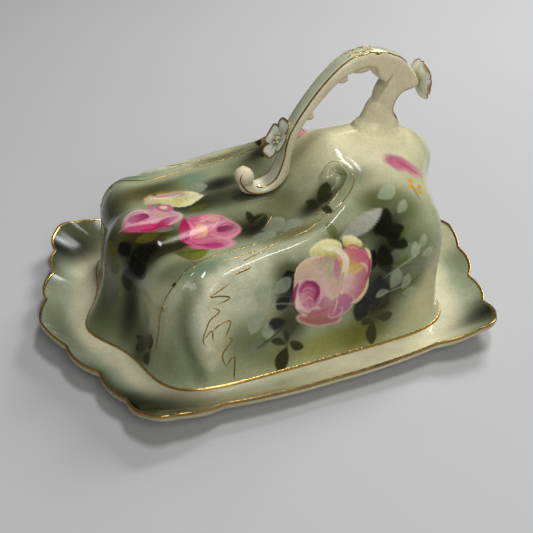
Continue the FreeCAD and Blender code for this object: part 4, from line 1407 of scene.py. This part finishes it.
def paper(name):
    """A pale, matt sweep of paper."""
    nodes = Nodes(name)
    patches = nodes.between(nodes.noise(PAPER_SCALE), 0.0, 1.0)
    tone = nodes.mixed(patches, *PAPER_TONES)
    nodes.link(tone, nodes.shader.inputs["Base Color"])
    nodes.shader.inputs["Roughness"].default_value = 0.7
    nodes.shader.inputs["Specular IOR Level"].default_value = 0.2
    return nodes.material


def dress(piece, material):
    piece.data.materials.clear()
    piece.data.materials.append(material)


# Building -------------------------------------------------------------------------------------

cover_glaze = glaze("cover_glaze")
tray_glaze = glaze("tray_glaze")
handle_glaze = glaze("handle_glaze", 0.1, 0.06)
blossom_glaze = glaze("blossom_glaze", 0.14, 0.0)
gilding = gilt("gilding", 0.85)
# the rim's gold is darker than the foot band's, partly as painted shade for the dark surroundings it
# reflects
rim_gold = gilt("rim_gold", 0.62)
line_gold = gilt("line_gold", 0.6)

cover = build_cover()
dress(cover, cover_glaze)
cover_tree = surface_tree(cover)
dress(build_cover_lines(cover_tree), line_gold)

rim = tray_rim()
well = well_edge(rim)
dress(build_tray(rim, well), tray_glaze)
dress(build_rim_band(rim, well), rim_gold)
dress(build_foot_band(), gilding)

handle_line = smooth_path(HANDLE_OUTLINE, OUTLINE_STEP, closed=True)
handle = build_handle(cover_tree, handle_line)
dress(handle, handle_glaze)
handle_beads = Beads()
lay_handle_lines(handle_beads, handle, handle_line)
dress(build_blossom("blossom_front", FRONT_BLOSSOM, "front_blossom", handle_beads), blossom_glaze)
dress(build_blossom("blossom_rear", REAR_BLOSSOM, "rear_blossom", handle_beads), blossom_glaze)
dress(handle_beads.piece("handle_gold_lines", "cover", "gilding"), line_gold)


# Floor, lights and camera, in metres ------------------------------------------------------------

FLOOR_HALF = 5.0
SKY_COLOUR = (0.72, 0.73, 0.75, 1.0)
SKY_STRENGTH = 0.16
LIT_PLACE = (0.0, 0.0, 0.06)        # what the lights point at
LIGHTS = [                          # name, place, size of the softbox and power
    ("key_light", (0.8, 0.5, 0.85), (0.4, 0.4), 9.5), ("top_light", (0.2, -0.1, 1.25), (0.35, 0.2), 6.0),
    ("front_light", (-0.1, -1.15, 0.9), (0.7, 0.7), 7.2),
]
CAMERA_AZIMUTH = -23.63
CAMERA_ELEVATION = 32.75
CAMERA_TARGET = (0.00369, 0.0, 0.01828)
CAMERA_DISTANCE = 0.5468
CAMERA_LENS = 64.2
SENSOR_WIDTH = 36.0


def add_floor():
    corners = [(x * FLOOR_HALF, y * FLOOR_HALF, 0.0) for x, y in ((-1, -1), (1, -1), (1, 1), (-1, 1))]
    mesh = bpy.data.meshes.new("floor")
    mesh.from_pydata(corners, [], [(0, 1, 2, 3)])
    floor = bpy.data.objects.new("floor", mesh)
    bpy.context.scene.collection.objects.link(floor)
    dress(floor, paper("floor_paper"))


def add_light(name, place, size, power):
    """A softbox with a length and a width that points at the dish."""
    lamp = bpy.data.lights.new(name, "AREA")
    lamp.shape = "RECTANGLE"
    lamp.size, lamp.size_y = size
    lamp.energy = power
    light = bpy.data.objects.new(name, lamp)
    light.location = place
    light.rotation_mode = "QUATERNION"
    light.rotation_quaternion = (Vector(LIT_PLACE) - Vector(place)).to_track_quat("-Z", "Y")
    bpy.context.scene.collection.objects.link(light)


def add_world():
    world = bpy.data.worlds.new("studio")
    world.use_nodes = True
    background = world.node_tree.nodes["Background"]
    background.inputs["Color"].default_value = SKY_COLOUR
    background.inputs["Strength"].default_value = SKY_STRENGTH
    bpy.context.scene.world = world


def add_camera():
    lens = bpy.data.cameras.new("camera")
    lens.lens = CAMERA_LENS
    lens.sensor_width = SENSOR_WIDTH
    camera = bpy.data.objects.new("camera", lens)
    axes = view_axes(CAMERA_AZIMUTH, CAMERA_ELEVATION)
    pose = Matrix([[axis[row] for axis in axes] for row in range(3)]).to_4x4()
    pose.translation = Vector(CAMERA_TARGET) + Vector(axes[2]) * CAMERA_DISTANCE
    camera.matrix_world = pose
    bpy.context.scene.collection.objects.link(camera)
    bpy.context.scene.camera = camera


add_floor()
for light in LIGHTS:
    add_light(*light)
add_world()
add_camera()
bpy.context.scene.view_settings.view_transform = "Standard"
